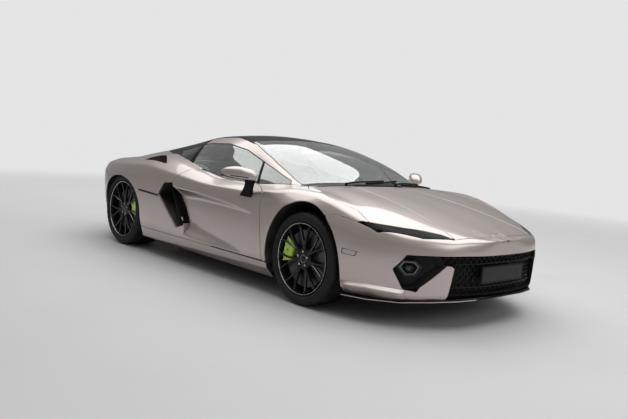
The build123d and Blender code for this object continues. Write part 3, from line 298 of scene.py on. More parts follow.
def skin_from(table, columns, rounds, crowns, stations, spacing, ease):
    """Skin through a table's rows. columns turns the table into half sections of y and z."""
    rows = np.array(table, float)
    sections = columns(rows)
    at = np.arange(0, stations[-1], ease / 6.0)
    flat = np.hstack([rows[:, :1], sections.reshape(len(rows), -1)])
    fine = eased(through(stations, flat, at), 6.0)
    picked = np.linspace(0, len(at) - 1, int(stations[-1] / spacing)).round().astype(int)
    fine = fine[picked]
    x, sections = fine[:, 0], fine[:, 1:].reshape(len(fine), -1, 2)
    ahead = sections[:, 1:] - sections[:, :-1]
    length = np.maximum(np.linalg.norm(ahead, axis=2, keepdims=True), 1e-6)
    outward = np.stack([ahead[..., 1], -ahead[..., 0]], axis=2) / length
    bulge = np.minimum(np.array(crowns)[None, :, None], 0.06 * length)
    middles = (sections[:, 1:] + sections[:, :-1]) / 2 + outward * bulge
    controls, reach = [], []
    for j in range(sections.shape[1]):
        controls.append(sections[:, j])
        reach.append(rounds[j] if j < len(rounds) else FAR)
        if j < middles.shape[1]:
            controls.append(middles[:, j])
            reach.append(FAR)
    mirrored = controls[-2] * np.array([-1, 1])
    half = rounded_sections(np.stack(controls + [mirrored], axis=1), reach + [0], spacing)
    whole = np.concatenate([half, (half * np.array([-1, 1]))[:, -2::-1]], axis=1)
    return np.concatenate([np.repeat(x[:, None, None], whole.shape[1], axis=1), whole], axis=2)


def hull_columns(rows):
    pairs = rows[:, 1:15].reshape(len(rows), 7, 2)
    centre = np.stack([np.zeros(len(rows)), rows[:, 15]], axis=1)
    return np.concatenate([pairs, centre[:, None]], axis=1)


def canopy_columns(rows):
    foot = np.stack([rows[:, 6], np.full(len(rows), float(CANOPY_FOOT_Z))], axis=1)
    centre = np.stack([np.zeros(len(rows)), rows[:, 1]], axis=1)
    return np.stack([foot, rows[:, 6:8], rows[:, 4:6], rows[:, 2:4], centre], axis=1)


def upward_and_out(points):
    return points * np.array([0.3, 1, 1]) - np.array([0, 0, 400])


def make_skins(spacing):
    """The two smooth skins that every panel is cut from."""
    hull_rows = np.array(HULL, float)
    steps = np.hypot(np.diff(hull_rows[:, 0]), np.diff(hull_rows[:, 5]))
    hull_at = np.concatenate([[0], np.cumsum(steps)])
    hull = Skin(skin_from(HULL, hull_columns, HULL_ROUND, HULL_CROWN, hull_at, spacing, 34.0))
    canopy_rows = np.array(CANOPY, float)
    canopy_at = np.concatenate([[0], np.cumsum(-np.diff(canopy_rows[:, 0]))])
    canopy = Skin(skin_from(CANOPY, canopy_columns, CANOPY_ROUND, CANOPY_CROWN, canopy_at, spacing, 60.0))
    return hull, canopy


# ---- panels: a closed solid from a clipped skin ------------------------------------------------
def clipped(skin, field):
    """Points, normals and faces of the part of a skin where the field is below 0."""
    value = field.ravel()
    quads = skin.quads()
    inside = value[quads] < 0
    whole = quads[inside.all(axis=1)]
    part = quads[inside.any(axis=1) & ~inside.all(axis=1)]
    points, normals = list(skin.points.reshape(-1, 3)), list(skin.normals.reshape(-1, 3))
    crossings = {}
    faces = [tuple(quad) for quad in whole.tolist()]
    for quad in part.tolist():
        face = []
        for a, b in zip(quad, quad[1:] + quad[:1]):
            if value[a] < 0:
                face.append(a)
            if (value[a] < 0) != (value[b] < 0):
                key = (min(a, b), max(a, b))
                if key not in crossings:
                    t = value[key[0]] / (value[key[0]] - value[key[1]])
                    t = min(max(t, 0.02), 0.98)
                    crossings[key] = len(points)
                    points.append(points[key[0]] * (1 - t) + points[key[1]] * t)
                    normals.append(normals[key[0]] * (1 - t) + normals[key[1]] * t)
                face.append(crossings[key])
        if len(face) >= 3:
            faces.append(tuple(face))
    used = sorted({i for face in faces for i in face})
    place = {old: new for new, old in enumerate(used)}
    faces = [tuple(place[i] for i in face) for face in faces]
    points = np.array([points[i] for i in used])
    normals = np.array([normals[i] for i in used])
    normals /= np.maximum(np.linalg.norm(normals, axis=1, keepdims=True), 1e-9)
    return points, normals, faces


def rims(faces):
    """The edges that only one face uses, each in that face's own direction."""
    edges = {}
    for face in faces:
        for a, b in zip(face, face[1:] + face[:1]):
            if (b, a) in edges:
                edges.pop((b, a))
            else:
                edges[(a, b)] = True
    return list(edges)


class Builder:
    """Collects vertices, faces, their normals and materials for one mesh."""

    def __init__(self):
        self.points, self.faces, self.normals, self.slots = [], [], [], []

    def add(self, points):
        first = len(self.points)
        self.points.extend(tuple(point) for point in points)
        return first

    def face(self, corners, normals, slot=0):
        self.faces.append(tuple(corners))
        self.normals.extend(tuple(normal) for normal in normals)
        self.slots.append(slot)

    def panel(self, skin, field, thickness, roll, inner_slot):
        """Closed panel of a skin, with rounded edges that reach out to where the field is 0."""
        points, normals, faces = clipped(skin, field + roll)
        if not faces:
            raise ValueError("a panel's outline misses its skin")
        edges = rims(faces)
        outward = {}
        for a, b in edges:
            along = points[b] - points[a]
            aside = np.cross(along, normals[a] + normals[b])
            aside /= max(np.linalg.norm(aside), 1e-9)
            for i in (a, b):
                outward[i] = outward.get(i, 0) + aside
        for i in outward:
            aside = outward[i] - normals[i] * np.dot(outward[i], normals[i])
            outward[i] = aside / max(np.linalg.norm(aside), 1e-9)
        first = self.add(points)
        for face in faces:
            self.face([first + i for i in face], [normals[i] for i in face])
        ring = {i: first + i for i in outward}
        lean = {i: normals[i] for i in outward}
        for step in range(1, 4):
            angle = math.pi / 6 * step
            order = list(outward)
            at = [points[i] + outward[i] * roll * math.sin(angle) - normals[i] * roll * (1 - math.cos(angle))
                  for i in order]
            begin = self.add(at)
            new_ring = {i: begin + k for k, i in enumerate(order)}
            new_lean = {i: normals[i] * math.cos(angle) + outward[i] * math.sin(angle) for i in order}
            for a, b in edges:
                self.face((ring[b], ring[a], new_ring[a], new_ring[b]),
                          (lean[b], lean[a], new_lean[a], new_lean[b]))
            ring, lean = new_ring, new_lean
        back = points - normals * thickness
        for i in outward:
            back[i] = back[i] + outward[i] * roll
        begin = self.add(back)
        for a, b in edges:
            self.face((ring[b], ring[a], begin + a, begin + b), (lean[b], lean[a], lean[a], lean[b]))
        for face in faces:
            self.face([begin + i for i in reversed(face)], [-normals[i] for i in reversed(face)], inner_slot)

    def object(self, name, materials):
        mesh = bpy.data.meshes.new(name)
        mesh.from_pydata([(x * MM, y * MM, z * MM) for x, y, z in self.points], [], self.faces)
        for material in materials:
            mesh.materials.append(material)
        mesh.polygons.foreach_set("material_index", self.slots)
        mesh.polygons.foreach_set("use_smooth", [True] * len(self.faces))
        mesh.normals_split_custom_set(self.normals)
        mesh.update()
        obj = bpy.data.objects.new(name, mesh)
        bpy.context.scene.collection.objects.link(obj)
        return obj


# ---- colours and sizes that a user may change --------------------------------------------------
class PaintSettings(bpy.types.PropertyGroup):
    """Colours of the car's finishes."""
    body: FloatVectorProperty(name="Body", description="Base colour of the metallic body paint",
                              default=(0.565, 0.495, 0.465), size=3, min=0, max=1, subtype="COLOR")
    caliper: FloatVectorProperty(name="Caliper", description="Colour of the brake calipers",
                                 default=(0.50, 0.78, 0.015), size=3, min=0, max=1, subtype="COLOR")
    rim: FloatVectorProperty(name="Rim", description="Colour of the painted rims",
                             default=(0.012, 0.012, 0.014), size=3, min=0, max=1, subtype="COLOR")
    leather: FloatVectorProperty(name="Leather", description="Colour of the seats and the trim",
                                 default=(0.022, 0.021, 0.021), size=3, min=0, max=1, subtype="COLOR")
    floor: FloatVectorProperty(name="Floor", description="Colour of the studio floor",
                               default=(0.62, 0.62, 0.63), size=3, min=0, max=1, subtype="COLOR")


class SizeSettings(bpy.types.PropertyGroup):
    """Sizes of the panels, gaps and small parts."""
    spacing: FloatProperty(name="Spacing", description="Distance between the points of a panel",
                           default=0.016, min=0.006, max=0.05, unit="LENGTH")
    skin: FloatProperty(name="Skin", description="Thickness of an outer panel",
                        default=0.009, min=0.002, max=0.012, unit="LENGTH")
    gap: FloatProperty(name="Gap", description="Width of a line between fixed panels",
                       default=0.0035, min=0.001, max=0.01, unit="LENGTH")
    shut: FloatProperty(name="Shut line", description="Width of a line round a moving panel",
                        default=0.005, min=0.002, max=0.012, unit="LENGTH")
    roll: FloatProperty(name="Edge", description="Radius of a panel's rolled edge",
                        default=0.0025, min=0.0005, max=0.008, unit="LENGTH")


def paint_settings():
    return bpy.context.scene.supercar_paint


def sizes():
    """The size settings in millimetres."""
    found = bpy.context.scene.supercar_sizes
    return {name: getattr(found, name) / MM for name in ("spacing", "skin", "gap", "shut", "roll")}


# ---- where the panels part ---------------------------------------------------------------------
SKINS = {}


def body_skins():
    if not SKINS:
        spacing = sizes()["spacing"]
        hull, canopy = make_skins(spacing)
        SKINS["hull"], SKINS["canopy"] = hull, canopy
        SKINS["cabin"] = hull.true(canopy.beyond(hull.points))
        SKINS["buried"] = canopy.true(hull.beyond(canopy.points))
    return SKINS["hull"], SKINS["canopy"]


def arch_field(skin):
    """Distance from the wheel openings, below 0 in them."""
    fields = []
    for axle_x, half, top, rise in ARCHES:
        a = (skin.x - axle_x) / half
        b = (skin.z - rise) / (top - rise)
        over = np.hypot(a, np.maximum(b, 0)) - 1
        fields.append(over * (half + top - rise) / 2)
    return any_of(*fields)


def above(skin, z):
    return z - skin.z


def canopy_edge(x):
    """Half width of the greenhouse's upper edge at x."""
    rows = np.array(CANOPY, float)[::-1]
    return np.interp(x, rows[:, 0], rows[:, 2])


def cant_line(x):
    rows = np.array(CANOPY, float)[::-1]
    return float(np.interp(x, rows[:, 0], rows[:, 5]))


def pane_outline(front_low, front_top, rear_top, rear_low):
    """Side view of a pane under the cant line, from its corners."""
    xs = [front_top] + [row[0] for row in CANOPY if rear_top < row[0] < front_top] + [rear_top]
    return (front_low,) + tuple((x, cant_line(x) - GLASS_DROP) for x in xs) + (rear_low,)


DOOR_PANE = pane_outline((600, 690), 440, -560, (-390, 690))
FRONT_PANE = pane_outline((930, 690), 845, 455, (614, 690))
REAR_PANE = pane_outline((-405, 690), -576, -925, (-700, 870)) + ((-560, 700),)


class Zones:
    """The fields of one skin's regions, below 0 inside each of them."""

    def __init__(self, skin, buried):
        top, across = above(skin, UPPER_Z), np.abs(skin.y)
        beside = PANE_Y - across
        self.hood = both_of(skin.plan(HOOD_PLAN), top)
        self.lamp = both_of(skin.plan(LAMP_PLAN), top)
        self.bonnet_side = both_of(skin.plan(BONNET_SIDE_PLAN), top)
        self.cowl = both_of(skin.plan(COWL_PLAN), top)
        self.arch = arch_field(skin)
        self.door = both_of(skin.side(DOOR_SIDE), DOOR_TOP_Y - across)
        self.intake = both_of(skin.side(INTAKE_SIDE), DOOR_TOP_Y - across)
        self.sill = both_of(skin.z - SILL_TOP_Z, skin.x - SILL_FRONT_X, SILL_REAR_X - skin.x)
        self.lid = both_of(across - LID_HALF, skin.x - LID_FRONT_X, LID_REAR_X - skin.x)
        self.deck = both_of(across - LID_HALF, skin.x - LID_REAR_X, TAIL_SPLIT_X - skin.x)
        self.sail = both_of(skin.plan(SAIL_PLAN), above(skin, SAIL_Z))
        self.vent = both_of(skin.plan(VENT_PLAN), above(skin, VENT_Z))
        self.louvres = [both_of(np.abs(across - LOUVRE_Y) - LOUVRE_HALF,
                                np.abs(skin.x - x) - LOUVRE_LONG / 2) for x in LOUVRES]
        self.tail = skin.x - TAIL_SPLIT_X
        self.mouth = cut_out(both_of(skin.end(MOUTH_FRONT), MOUTH_X - skin.x),
                             both_of(skin.end(VANE_FRONT), MOUTH_X - skin.x))
        self.lamps_rear = both_of(skin.end(TAIL_LAMP_REAR), skin.x - LAMPS_REAR_X)
        self.panel_rear = both_of(skin.end(TAIL_PANEL_REAR), skin.x - LAMPS_REAR_X)
        self.diffuser = both_of(skin.end(DIFFUSER_REAR), skin.x - DIFFUSER_X)
        self.door_pane = both_of(skin.side(DOOR_PANE), beside)
        self.front_pane = both_of(skin.side(FRONT_PANE), beside)
        self.rear_pane = both_of(skin.side(REAR_PANE), beside)
        edge = canopy_edge(skin.x)
        self.screen = both_of(across - edge - 6, SCREEN_TOP_X - skin.x)
        self.roof = both_of(across - edge - 16, skin.x - SCREEN_TOP_X + 40, ROOF_REAR_X - skin.x)
        self.header = both_of(across - edge - 16, skin.x - 150, -620 - skin.x)
        self.buried = buried
        self.left = -skin.y
        self.right = skin.y


def zones():
    hull, canopy = body_skins()
    if "zones" not in SKINS:
        SKINS["zones"] = (Zones(hull, SKINS["cabin"]), Zones(canopy, SKINS["buried"]))
    return SKINS["zones"]


def body_panel(name, parts, body, nodes, material, thickness=None, inner_material=None,
               slot="body_paint"):
    """Make one piece from (skin, field, gap) rows, and put it on its body in place of its nodes."""
    size = sizes()
    builder = Builder()
    for skin, field, gap in parts:
        builder.panel(skin, skin.true(field) + gap / 2, thickness or size["skin"], size["roll"],
                      0 if inner_material is None else 1)
    materials = [material] + ([inner_material] if inner_material else [])
    obj = builder.object(name, materials)
    place(obj, body, nodes, slot)
    return obj


def place(obj, body, nodes, slot):
    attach(obj, body)
    if nodes:
        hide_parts(*nodes)


# ---- plain shapes: lists of vertices and faces, in millimetres ---------------------------------
def prism(outline, axis, low, high):
    """Outline pushed along an axis. Its pairs are y, z along X, x, z along Y and x, y along Z."""
    def point(pair, depth):
        a, b = pair
        return {"x": (depth, a, b), "y": (a, depth, b), "z": (a, b, depth)}[axis]
    count = len(outline)
    vertices = [point(pair, low) for pair in outline] + [point(pair, high) for pair in outline]
    faces = [tuple(range(count)), tuple(range(2 * count - 1, count - 1, -1))]
    faces += [(i, (i + 1) % count, count + (i + 1) % count, count + i) for i in range(count)]
    return outward_faces(vertices, faces)


def box(x0, x1, y0, y1, z0, z1):
    return prism([(x0, y0), (x1, y0), (x1, y1), (x0, y1)], "z", z0, z1)


def lofted(rings, closed=False):
    """Closed solid through rings of as many points each, or an endless one."""
    count = len(rings[0])
    vertices = [tuple(point) for ring in rings for point in ring]
    faces = []
    spans = len(rings) if closed else len(rings) - 1
    for r in range(spans):
        near, far = r * count, (r + 1) % len(rings) * count
        faces += [(near + i, near + (i + 1) % count, far + (i + 1) % count, far + i) for i in range(count)]
    if not closed:
        faces += [tuple(range(count)), tuple(range(len(vertices) - 1, len(vertices) - count - 1, -1))]
    return outward_faces(vertices, faces)


def outward_faces(vertices, faces):
    """Turn the faces of a closed solid outwards."""
    array = np.array(vertices, float)
    volume = 0.0
    for face in faces:
        for i in range(1, len(face) - 1):
            volume += np.dot(array[face[0]], np.cross(array[face[i]], array[face[i + 1]]))
    if volume < 0:
        faces = [tuple(reversed(face)) for face in faces]
    return vertices, faces


def circle(count):
    """Angles once round, in so many steps."""
    return [2 * math.pi * k / count for k in range(count)]


def turned(profile, centre, steps):
    """Profile of radius and y turned about a line along Y through the centre."""
    rings = []
    for angle in circle(steps):
        rings.append([(centre[0] + r * math.cos(angle), centre[1] + y, centre[2] + r * math.sin(angle))
                      for r, y in profile])
    return lofted(rings, closed=True)


def rod(start, end, radius, sides=12, tip=None):
    """Round bar between two points, tapered to tip where that is given."""
    start, end = Vector(start), Vector(end)
    turn = (end - start).to_track_quat("Z", "Y").to_matrix()
    rings = []
    for centre, r in ((start, radius), (end, radius if tip is None else tip)):
        rings.append([tuple(centre + turn @ Vector((r * math.cos(a), r * math.sin(a), 0)))
                      for a in circle(sides)])
    return lofted(rings)


def tube(path, radius, sides=10):
    """Round bar along a list of points."""
    points = [Vector(point) for point in path]
    rings = []
    for i, point in enumerate(points):
        way = points[min(i + 1, len(points) - 1)] - points[max(i - 1, 0)]
        turn = way.to_track_quat("Z", "Y").to_matrix()
        rings.append([tuple(point + turn @ Vector((radius * math.cos(a), radius * math.sin(a), 0)))
                      for a in circle(sides)])
    return lofted(rings)


def flipped(shape):
    """Mirror a shape to the car's other side."""
    vertices, faces = shape
    return [(x, -y, z) for x, y, z in vertices], [tuple(reversed(face)) for face in faces]


def moved(shape, x=0, y=0, z=0):
    return [(a + x, b + y, c + z) for a, b, c in shape[0]], shape[1]


def piece(name, rows, materials, body, nodes=(), slot="matte_black", bevel=0.0, origin=(0, 0, 0),
          angle=35, smooth_steps=0, segments=2):
    """One object from (shape, material number) rows, with its edges bevelled by so many millimetres."""
    vertices, faces, slots = [], [], []
    for shape, number in rows:
        first = len(vertices)
        vertices += [tuple((c - o) * MM for c, o in zip(vertex, origin)) for vertex in shape[0]]
        faces += [tuple(first + i for i in face) for face in shape[1]]
        slots += [number] * len(shape[1])
    mesh = bpy.data.meshes.new(name)
    mesh.from_pydata(vertices, [], faces)
    for material in materials:
        mesh.materials.append(material)
    mesh.polygons.foreach_set("material_index", slots)
    mesh.polygons.foreach_set("use_smooth", [True] * len(faces))
    mesh.set_sharp_from_angle(angle=math.radians(angle))
    obj = bpy.data.objects.new(name, mesh)
    obj.location = [c * MM for c in origin]
    bpy.context.scene.collection.objects.link(obj)
    if smooth_steps:
        rounder = obj.modifiers.new("Round", "SUBSURF")
        rounder.levels = rounder.render_levels = smooth_steps
    if bevel:
        edge = obj.modifiers.new("Edge", "BEVEL")
        edge.width = bevel * MM
        edge.segments = segments
        edge.limit_method = "ANGLE"
        edge.angle_limit = math.radians(angle)
        edge.harden_normals = True
    place(obj, body, nodes, slot)
    return obj


def with_mirror(rows):
    return rows + [(flipped(shape), number) for shape, number in rows]


# ---- finishes ----------------------------------------------------------------------------------
def group_of(name, inputs, outputs, make):
    """A shader group, made once, whose inputs are (name, default) and whose outputs are colours or values."""
    tree = bpy.data.node_groups.get(name)
    if tree:
        return tree
    tree = bpy.data.node_groups.new(name, "ShaderNodeTree")
    for label, default in inputs:
        socket = tree.interface.new_socket(name=label, in_out="INPUT", socket_type="NodeSocketFloat")
        socket.default_value = default
    for label, kind in outputs:
        tree.interface.new_socket(name=label, in_out="OUTPUT", socket_type=kind)
    make(Graph(tree))
    return tree


class Graph:
    """Short calls to add and join nodes of one tree."""

    def __init__(self, tree):
        self.tree = tree

    def add(self, kind, inputs=None, **settings):
        node = self.tree.nodes.new("ShaderNode" + kind)
        for name, value in settings.items():
            setattr(node, name, value)
        for name, value in (inputs or {}).items():
            if isinstance(value, bpy.types.NodeSocket):
                self.tree.links.new(value, node.inputs[name])
            else:
                node.inputs[name].default_value = value
        return node

    def group(self, tree, **inputs):
        node = self.tree.nodes.new("ShaderNodeGroup")
        node.node_tree = tree
        for name, value in inputs.items():
            node.inputs[name].default_value = value
        return node

    def noise(self, scale, detail):
        return self.add("TexNoise", {"Vector": self.place(), "Scale": scale,
                                     "Detail": detail}).outputs["Fac"]

    def place(self):
        return self.add("TexCoord").outputs["Object"]

    def math(self, operation, a, b=0.0, clamp=False):
        node = self.add("Math", {0: a, 1: b}, operation=operation)
        node.use_clamp = clamp
        return node.outputs[0]

    def ramp(self, value, low, high, to_low=0.0, to_high=1.0):
        return self.add("MapRange", {"Value": value, "From Min": low, "From Max": high, "To Min": to_low,
                                     "To Max": to_high}).outputs["Result"]

    def mix(self, factor, a, b):
        node = self.add("Mix", data_type="RGBA")
        for index, value in ((0, factor), (6, a), (7, b)):
            if isinstance(value, bpy.types.NodeSocket):
                self.tree.links.new(value, node.inputs[index])
            else:
                node.inputs[index].default_value = value
        return node.outputs[2]

    def bump(self, height, distance, strength=1.0, normal=None):
        inputs = {"Height": height, "Distance": distance, "Strength": strength}
        if normal is not None:
            inputs["Normal"] = normal
        return self.add("Bump", inputs).outputs["Normal"]

    def send(self, **values):
        out = self.tree.nodes.new("NodeGroupOutput")
        for name, value in values.items():
            self.tree.links.new(value, out.inputs[name])

    def receive(self):
        return self.tree.nodes.new("NodeGroupInput").outputs


def grain_group():
    """Fine raised grain, as of moulded plastic, leather or cast metal."""
    def make(g):
        given = g.receive()
        cells = g.add("TexVoronoi", {"Vector": g.place(), "Scale": given["Scale"]}, feature="F1")
        fine = g.add("TexNoise", {"Vector": g.place(), "Scale": given["Scale"], "Detail": 3.0})
        height = g.math("ADD", cells.outputs["Distance"], fine.outputs["Fac"])
        normal = g.add("Bump", {"Height": height, "Distance": given["Depth"], "Strength": 1.0})
        g.send(Height=height, Normal=normal.outputs["Normal"])
    return group_of("Grain", (("Scale", 900.0), ("Depth", 0.0002)),
                    (("Height", "NodeSocketFloat"), ("Normal", "NodeSocketVector")), make)


def film_group():
    """Thin uneven film: soft patches, with more of it low down."""
    def make(g):
        given = g.receive()
        soft = g.add("TexNoise", {"Vector": g.place(), "Scale": given["Scale"], "Detail": 4.0})
        height = g.add("SeparateXYZ", {0: g.add("NewGeometry").outputs["Position"]}).outputs["Z"]
        low = g.ramp(height, 0.05, 0.55, 1.0, 0.25)
        mask = g.math("MULTIPLY", g.ramp(soft.outputs["Fac"], 0.35, 0.7), low)
        mask = g.math("MULTIPLY", mask, given["Amount"])
        g.send(Mask=mask)
    return group_of("Film", (("Scale", 6.0), ("Amount", 1.0)), (("Mask", "NodeSocketFloat"),), make)


def wear_group():
    """Light wear on edges, from how sharply the surface bends, broken up by noise."""
    def make(g):
        given = g.receive()
        bend = g.add("NewGeometry").outputs["Pointiness"]
        rough = g.add("TexNoise", {"Vector": g.place(), "Scale": 180.0, "Detail": 3.0}).outputs["Fac"]
        edge = g.ramp(bend, 0.52, 0.60)
        mask = g.math("MULTIPLY", g.math("MULTIPLY", edge, rough), given["Amount"], clamp=True)
        g.send(Mask=mask)
    return group_of("EdgeWear", (("Amount", 1.0),), (("Mask", "NodeSocketFloat"),), make)


COAT_ROUGHNESS = 0.03


def once(make):
    """Turn a maker of materials into one that makes each name only once."""
    def made(name, *values, **named):
        return bpy.data.materials.get(name) or make(name, *values, **named)
    return made


def new_material(name):
    material = bpy.data.materials.new(name)
    material.use_nodes = True
    shader = material.node_tree.nodes["Principled BSDF"]
    return material, Graph(material.node_tree), shader


@once
def finish(name, colour, roughness, metallic=0.0, coat=0.0, grain=None, film=0.0, wear=0.0, varied=0.08,
           glow=None, specular=None):
    """Opaque finish with grain, a film of dust, worn edges and slight changes of shade."""
    material, g, shader = new_material(name)
    shader.inputs["Metallic"].default_value = metallic
    shader.inputs["Coat Weight"].default_value = coat
    shader.inputs["Coat Roughness"].default_value = COAT_ROUGHNESS
    if specular is not None:
        shader.inputs["Specular IOR Level"].default_value = specular
    dark = tuple(c * (1 - varied) for c in colour) + (1,)
    light = tuple(min(c * (1 + varied), 1) for c in colour) + (1,)
    shade = g.mix(g.ramp(g.noise(14.0, 4.0), 0.3, 0.7), dark, light)
    rough = g.ramp(g.noise(60.0, 3.0), 0.3, 0.7, roughness * 0.85, min(roughness * 1.15, 1))
    if film:
        mask = g.group(film_group(), Amount=film).outputs["Mask"]
        shade = g.mix(mask, shade, (0.30, 0.28, 0.26, 1))
        rough = g.add("Mix", {0: mask, 2: rough, 3: 0.7}, data_type="FLOAT").outputs[0]
    if wear:
        mask = g.group(wear_group(), Amount=wear).outputs["Mask"]
        shade = g.mix(mask, shade, tuple(min(c * 2.5 + 0.05, 1) for c in colour) + (1,))
    if grain:
        normal = g.group(grain_group(), Scale=grain[0], Depth=grain[1]).outputs["Normal"]
        g.tree.links.new(normal, shader.inputs["Normal"])
    if glow:
        shader.inputs["Emission Color"].default_value = tuple(glow[:3]) + (1,)
        shader.inputs["Emission Strength"].default_value = glow[3]
    g.tree.links.new(shade, shader.inputs["Base Color"])
    g.tree.links.new(rough, shader.inputs["Roughness"])
    return material


@once
def flake_paint(name):
    """Metallic paint: flakes under a clear coat with a trace of orange peel."""
    material, g, shader = new_material(name)
    body = tuple(paint_settings().body)
    flakes = g.add("TexVoronoi", {"Vector": g.place(), "Scale": 2600.0}, feature="F1")
    sparkle = g.ramp(g.add("SeparateColor", {0: flakes.outputs["Color"]}).outputs["Red"], 0.0, 1.0)
    dark, light = tuple(c * 0.93 for c in body) + (1,), tuple(min(c * 1.07, 1) for c in body) + (1,)
    shade = g.mix(sparkle, dark, light)
    cloud = g.ramp(g.noise(1.6, 2.0), 0.35, 0.65)
    shade = g.mix(g.math("MULTIPLY", cloud, 0.10), shade, (body[0] * 1.05, body[1] * 0.98, body[2] * 0.95, 1))
    mask = g.group(film_group(), Amount=0.10, Scale=5.0).outputs["Mask"]
    shade = g.mix(mask, shade, (0.36, 0.34, 0.32, 1))
    g.tree.links.new(shade, shader.inputs["Base Color"])
    g.tree.links.new(g.ramp(sparkle, 0.0, 1.0, 0.30, 0.40), shader.inputs["Roughness"])
    peel = g.bump(g.noise(420.0, 1.0), 0.00004, 0.4)
    g.tree.links.new(g.bump(sparkle, 0.00003, 0.35, peel), shader.inputs["Normal"])
    shader.inputs["Metallic"].default_value = 0.82
    shader.inputs["Coat Weight"].default_value = 1.0
    shader.inputs["Coat Roughness"].default_value = 0.025
    return material


@once
def glass(name, tint, ior=1.5):
    """Clear glass with a faint uneven film on it."""
    material, g, shader = new_material(name)
    shader.inputs["Transmission Weight"].default_value = 1.0
    shader.inputs["IOR"].default_value = ior
    clean = tuple(tint) + (1,)
    film = g.group(film_group(), Amount=0.25, Scale=9.0).outputs["Mask"]
    g.tree.links.new(g.mix(film, clean, tuple(c * 0.8 for c in tint) + (1,)), shader.inputs["Base Color"])
    g.tree.links.new(g.ramp(film, 0.0, 1.0, 0.0, 0.06), shader.inputs["Roughness"])
    return material


@once
def brushed(name, colour, roughness):
    """Turned metal with fine rings about its own Y axis."""
    material, g, shader = new_material(name)
    shader.inputs["Metallic"].default_value = 1.0
    wave = g.add("TexWave", {"Vector": g.place(), "Scale": 220.0, "Distortion": 0.4, "Detail": 2.0},
                 wave_type="RINGS", rings_direction="Y")
    scratch = g.math("ADD", wave.outputs["Fac"], g.noise(300.0, 3.0))
    dark, light = tuple(c * 0.8 for c in colour) + (1,), tuple(colour) + (1,)
    g.tree.links.new(g.mix(g.ramp(scratch, 0.3, 1.6), dark, light), shader.inputs["Base Color"])
    g.tree.links.new(g.ramp(scratch, 0.2, 1.6, roughness * 0.8, roughness * 1.25), shader.inputs["Roughness"])
    g.tree.links.new(g.bump(scratch, 0.00005, 0.5), shader.inputs["Normal"])
    return material


def body_paint():
    return flake_paint("BodyPaint")


def gloss_black():
    return finish("GlossBlack", (0.006, 0.006, 0.0065), 0.20, film=0.01, varied=0.15, specular=0.06)


def satin_black():
    return finish("SatinBlack", (0.010, 0.010, 0.011), 0.42, grain=(1400.0, 0.00010), film=0.03, wear=0.05,
                  specular=0.15)


def mesh_black():
    return finish("MeshBlack", (0.009, 0.009, 0.010), 0.35, grain=(1800.0, 0.00006), film=0.03, wear=0.05,
                  specular=0.25)


def liner_black():
    return finish("LinerFelt", (0.010, 0.010, 0.010), 0.9, grain=(700.0, 0.0006), film=0.4)


def rubber():
    return finish("TyreRubber", (0.012, 0.012, 0.0125), 0.6, grain=(1100.0, 0.00012), film=0.06, wear=0.08,
                  specular=0.25)


def rim_paint():
    return finish("RimPaint", tuple(paint_settings().rim), 0.22, coat=0.15, film=0.01, specular=0.16)


def machined():
    return finish("MachinedAluminium", (0.62, 0.61, 0.60), 0.24, metallic=1.0, grain=(2500.0, 0.00002),
                  wear=0.1)


def chrome():
    return finish("DarkChrome", (0.42, 0.42, 0.43), 0.14, metallic=1.0, varied=0.05, film=0.02)


def leather():
    return finish("Leather", tuple(paint_settings().leather), 0.48, grain=(620.0, 0.00022), wear=0.12)


def suede():
    return finish("Suede", (0.020, 0.019, 0.019), 0.95, grain=(2400.0, 0.00015), varied=0.2)


def carpet():
    return finish("Carpet", (0.018, 0.018, 0.019), 1.0, grain=(1500.0, 0.0009), film=0.15, varied=0.25)


def stitch():
    return finish("Stitching", tuple(c * 0.8 for c in paint_settings().caliper), 0.7, grain=(3000.0, 0.0001))


def caliper_paint():
    return finish("CaliperPaint", tuple(paint_settings().caliper), 0.25, coat=0.8, film=0.10, wear=0.08)


def cast_metal():
    return finish("CastAluminium", (0.26, 0.26, 0.27), 0.45, metallic=0.9, grain=(500.0, 0.0005),
                  film=0.25, wear=0.3)


def frame_metal():
    return finish("ChassisMetal", (0.045, 0.045, 0.048), 0.5, metallic=0.5, grain=(900.0, 0.0002),
                  film=0.3, wear=0.25)


def exhaust_steel():
    return finish("ExhaustSteel", (0.46, 0.42, 0.37), 0.28, metallic=1.0, grain=(1600.0, 0.00005), film=0.15,
                  varied=0.25)


def red_lens():
    return finish("RedLens", (0.30, 0.006, 0.006), 0.12, coat=1.0, grain=(350.0, 0.0002),
                  glow=(0.9, 0.02, 0.01, 0.35))


def lamp_white():
    return finish("LightGuide", (0.20, 0.205, 0.21), 0.25, grain=(900.0, 0.0001), glow=(0.9, 0.95, 1.0, 0.05))


def amber():
    return finish("AmberLens", (0.28, 0.10, 0.03), 0.15, coat=1.0, grain=(500.0, 0.0002))


# ---- operators: body panels --------------------------------------------------------------------
class BuildHood(bpy.types.Operator):
    """Build the hood, the bonnet's fixed sides and the front fenders"""
    bl_idname = "supercar.hood"
    bl_label = "Hood and fenders"

    def execute(self, context):
        hull, _ = body_skins()
        h, _ = zones()
        size = sizes()
        paint = body_paint()
        under = satin_black()
        body_panel("hood", [(hull, both_of(h.hood, -h.buried), size["shut"])], "hood", ["hood"], paint,
                   inner_material=under)
        side = cut_out(both_of(hull.side(FENDER_SIDE), FENDER_Y - np.abs(hull.y)), h.hood,
                       h.bonnet_side, h.lamp, h.cowl, h.arch, h.sill, h.buried)
        top = cut_out(h.bonnet_side, h.hood, h.lamp, h.buried)
        body_panel("front_fenders", [(hull, side, size["gap"]), (hull, top, size["gap"])], "body",
                   ["front_fenders"], paint, inner_material=under)
        return {"FINISHED"}


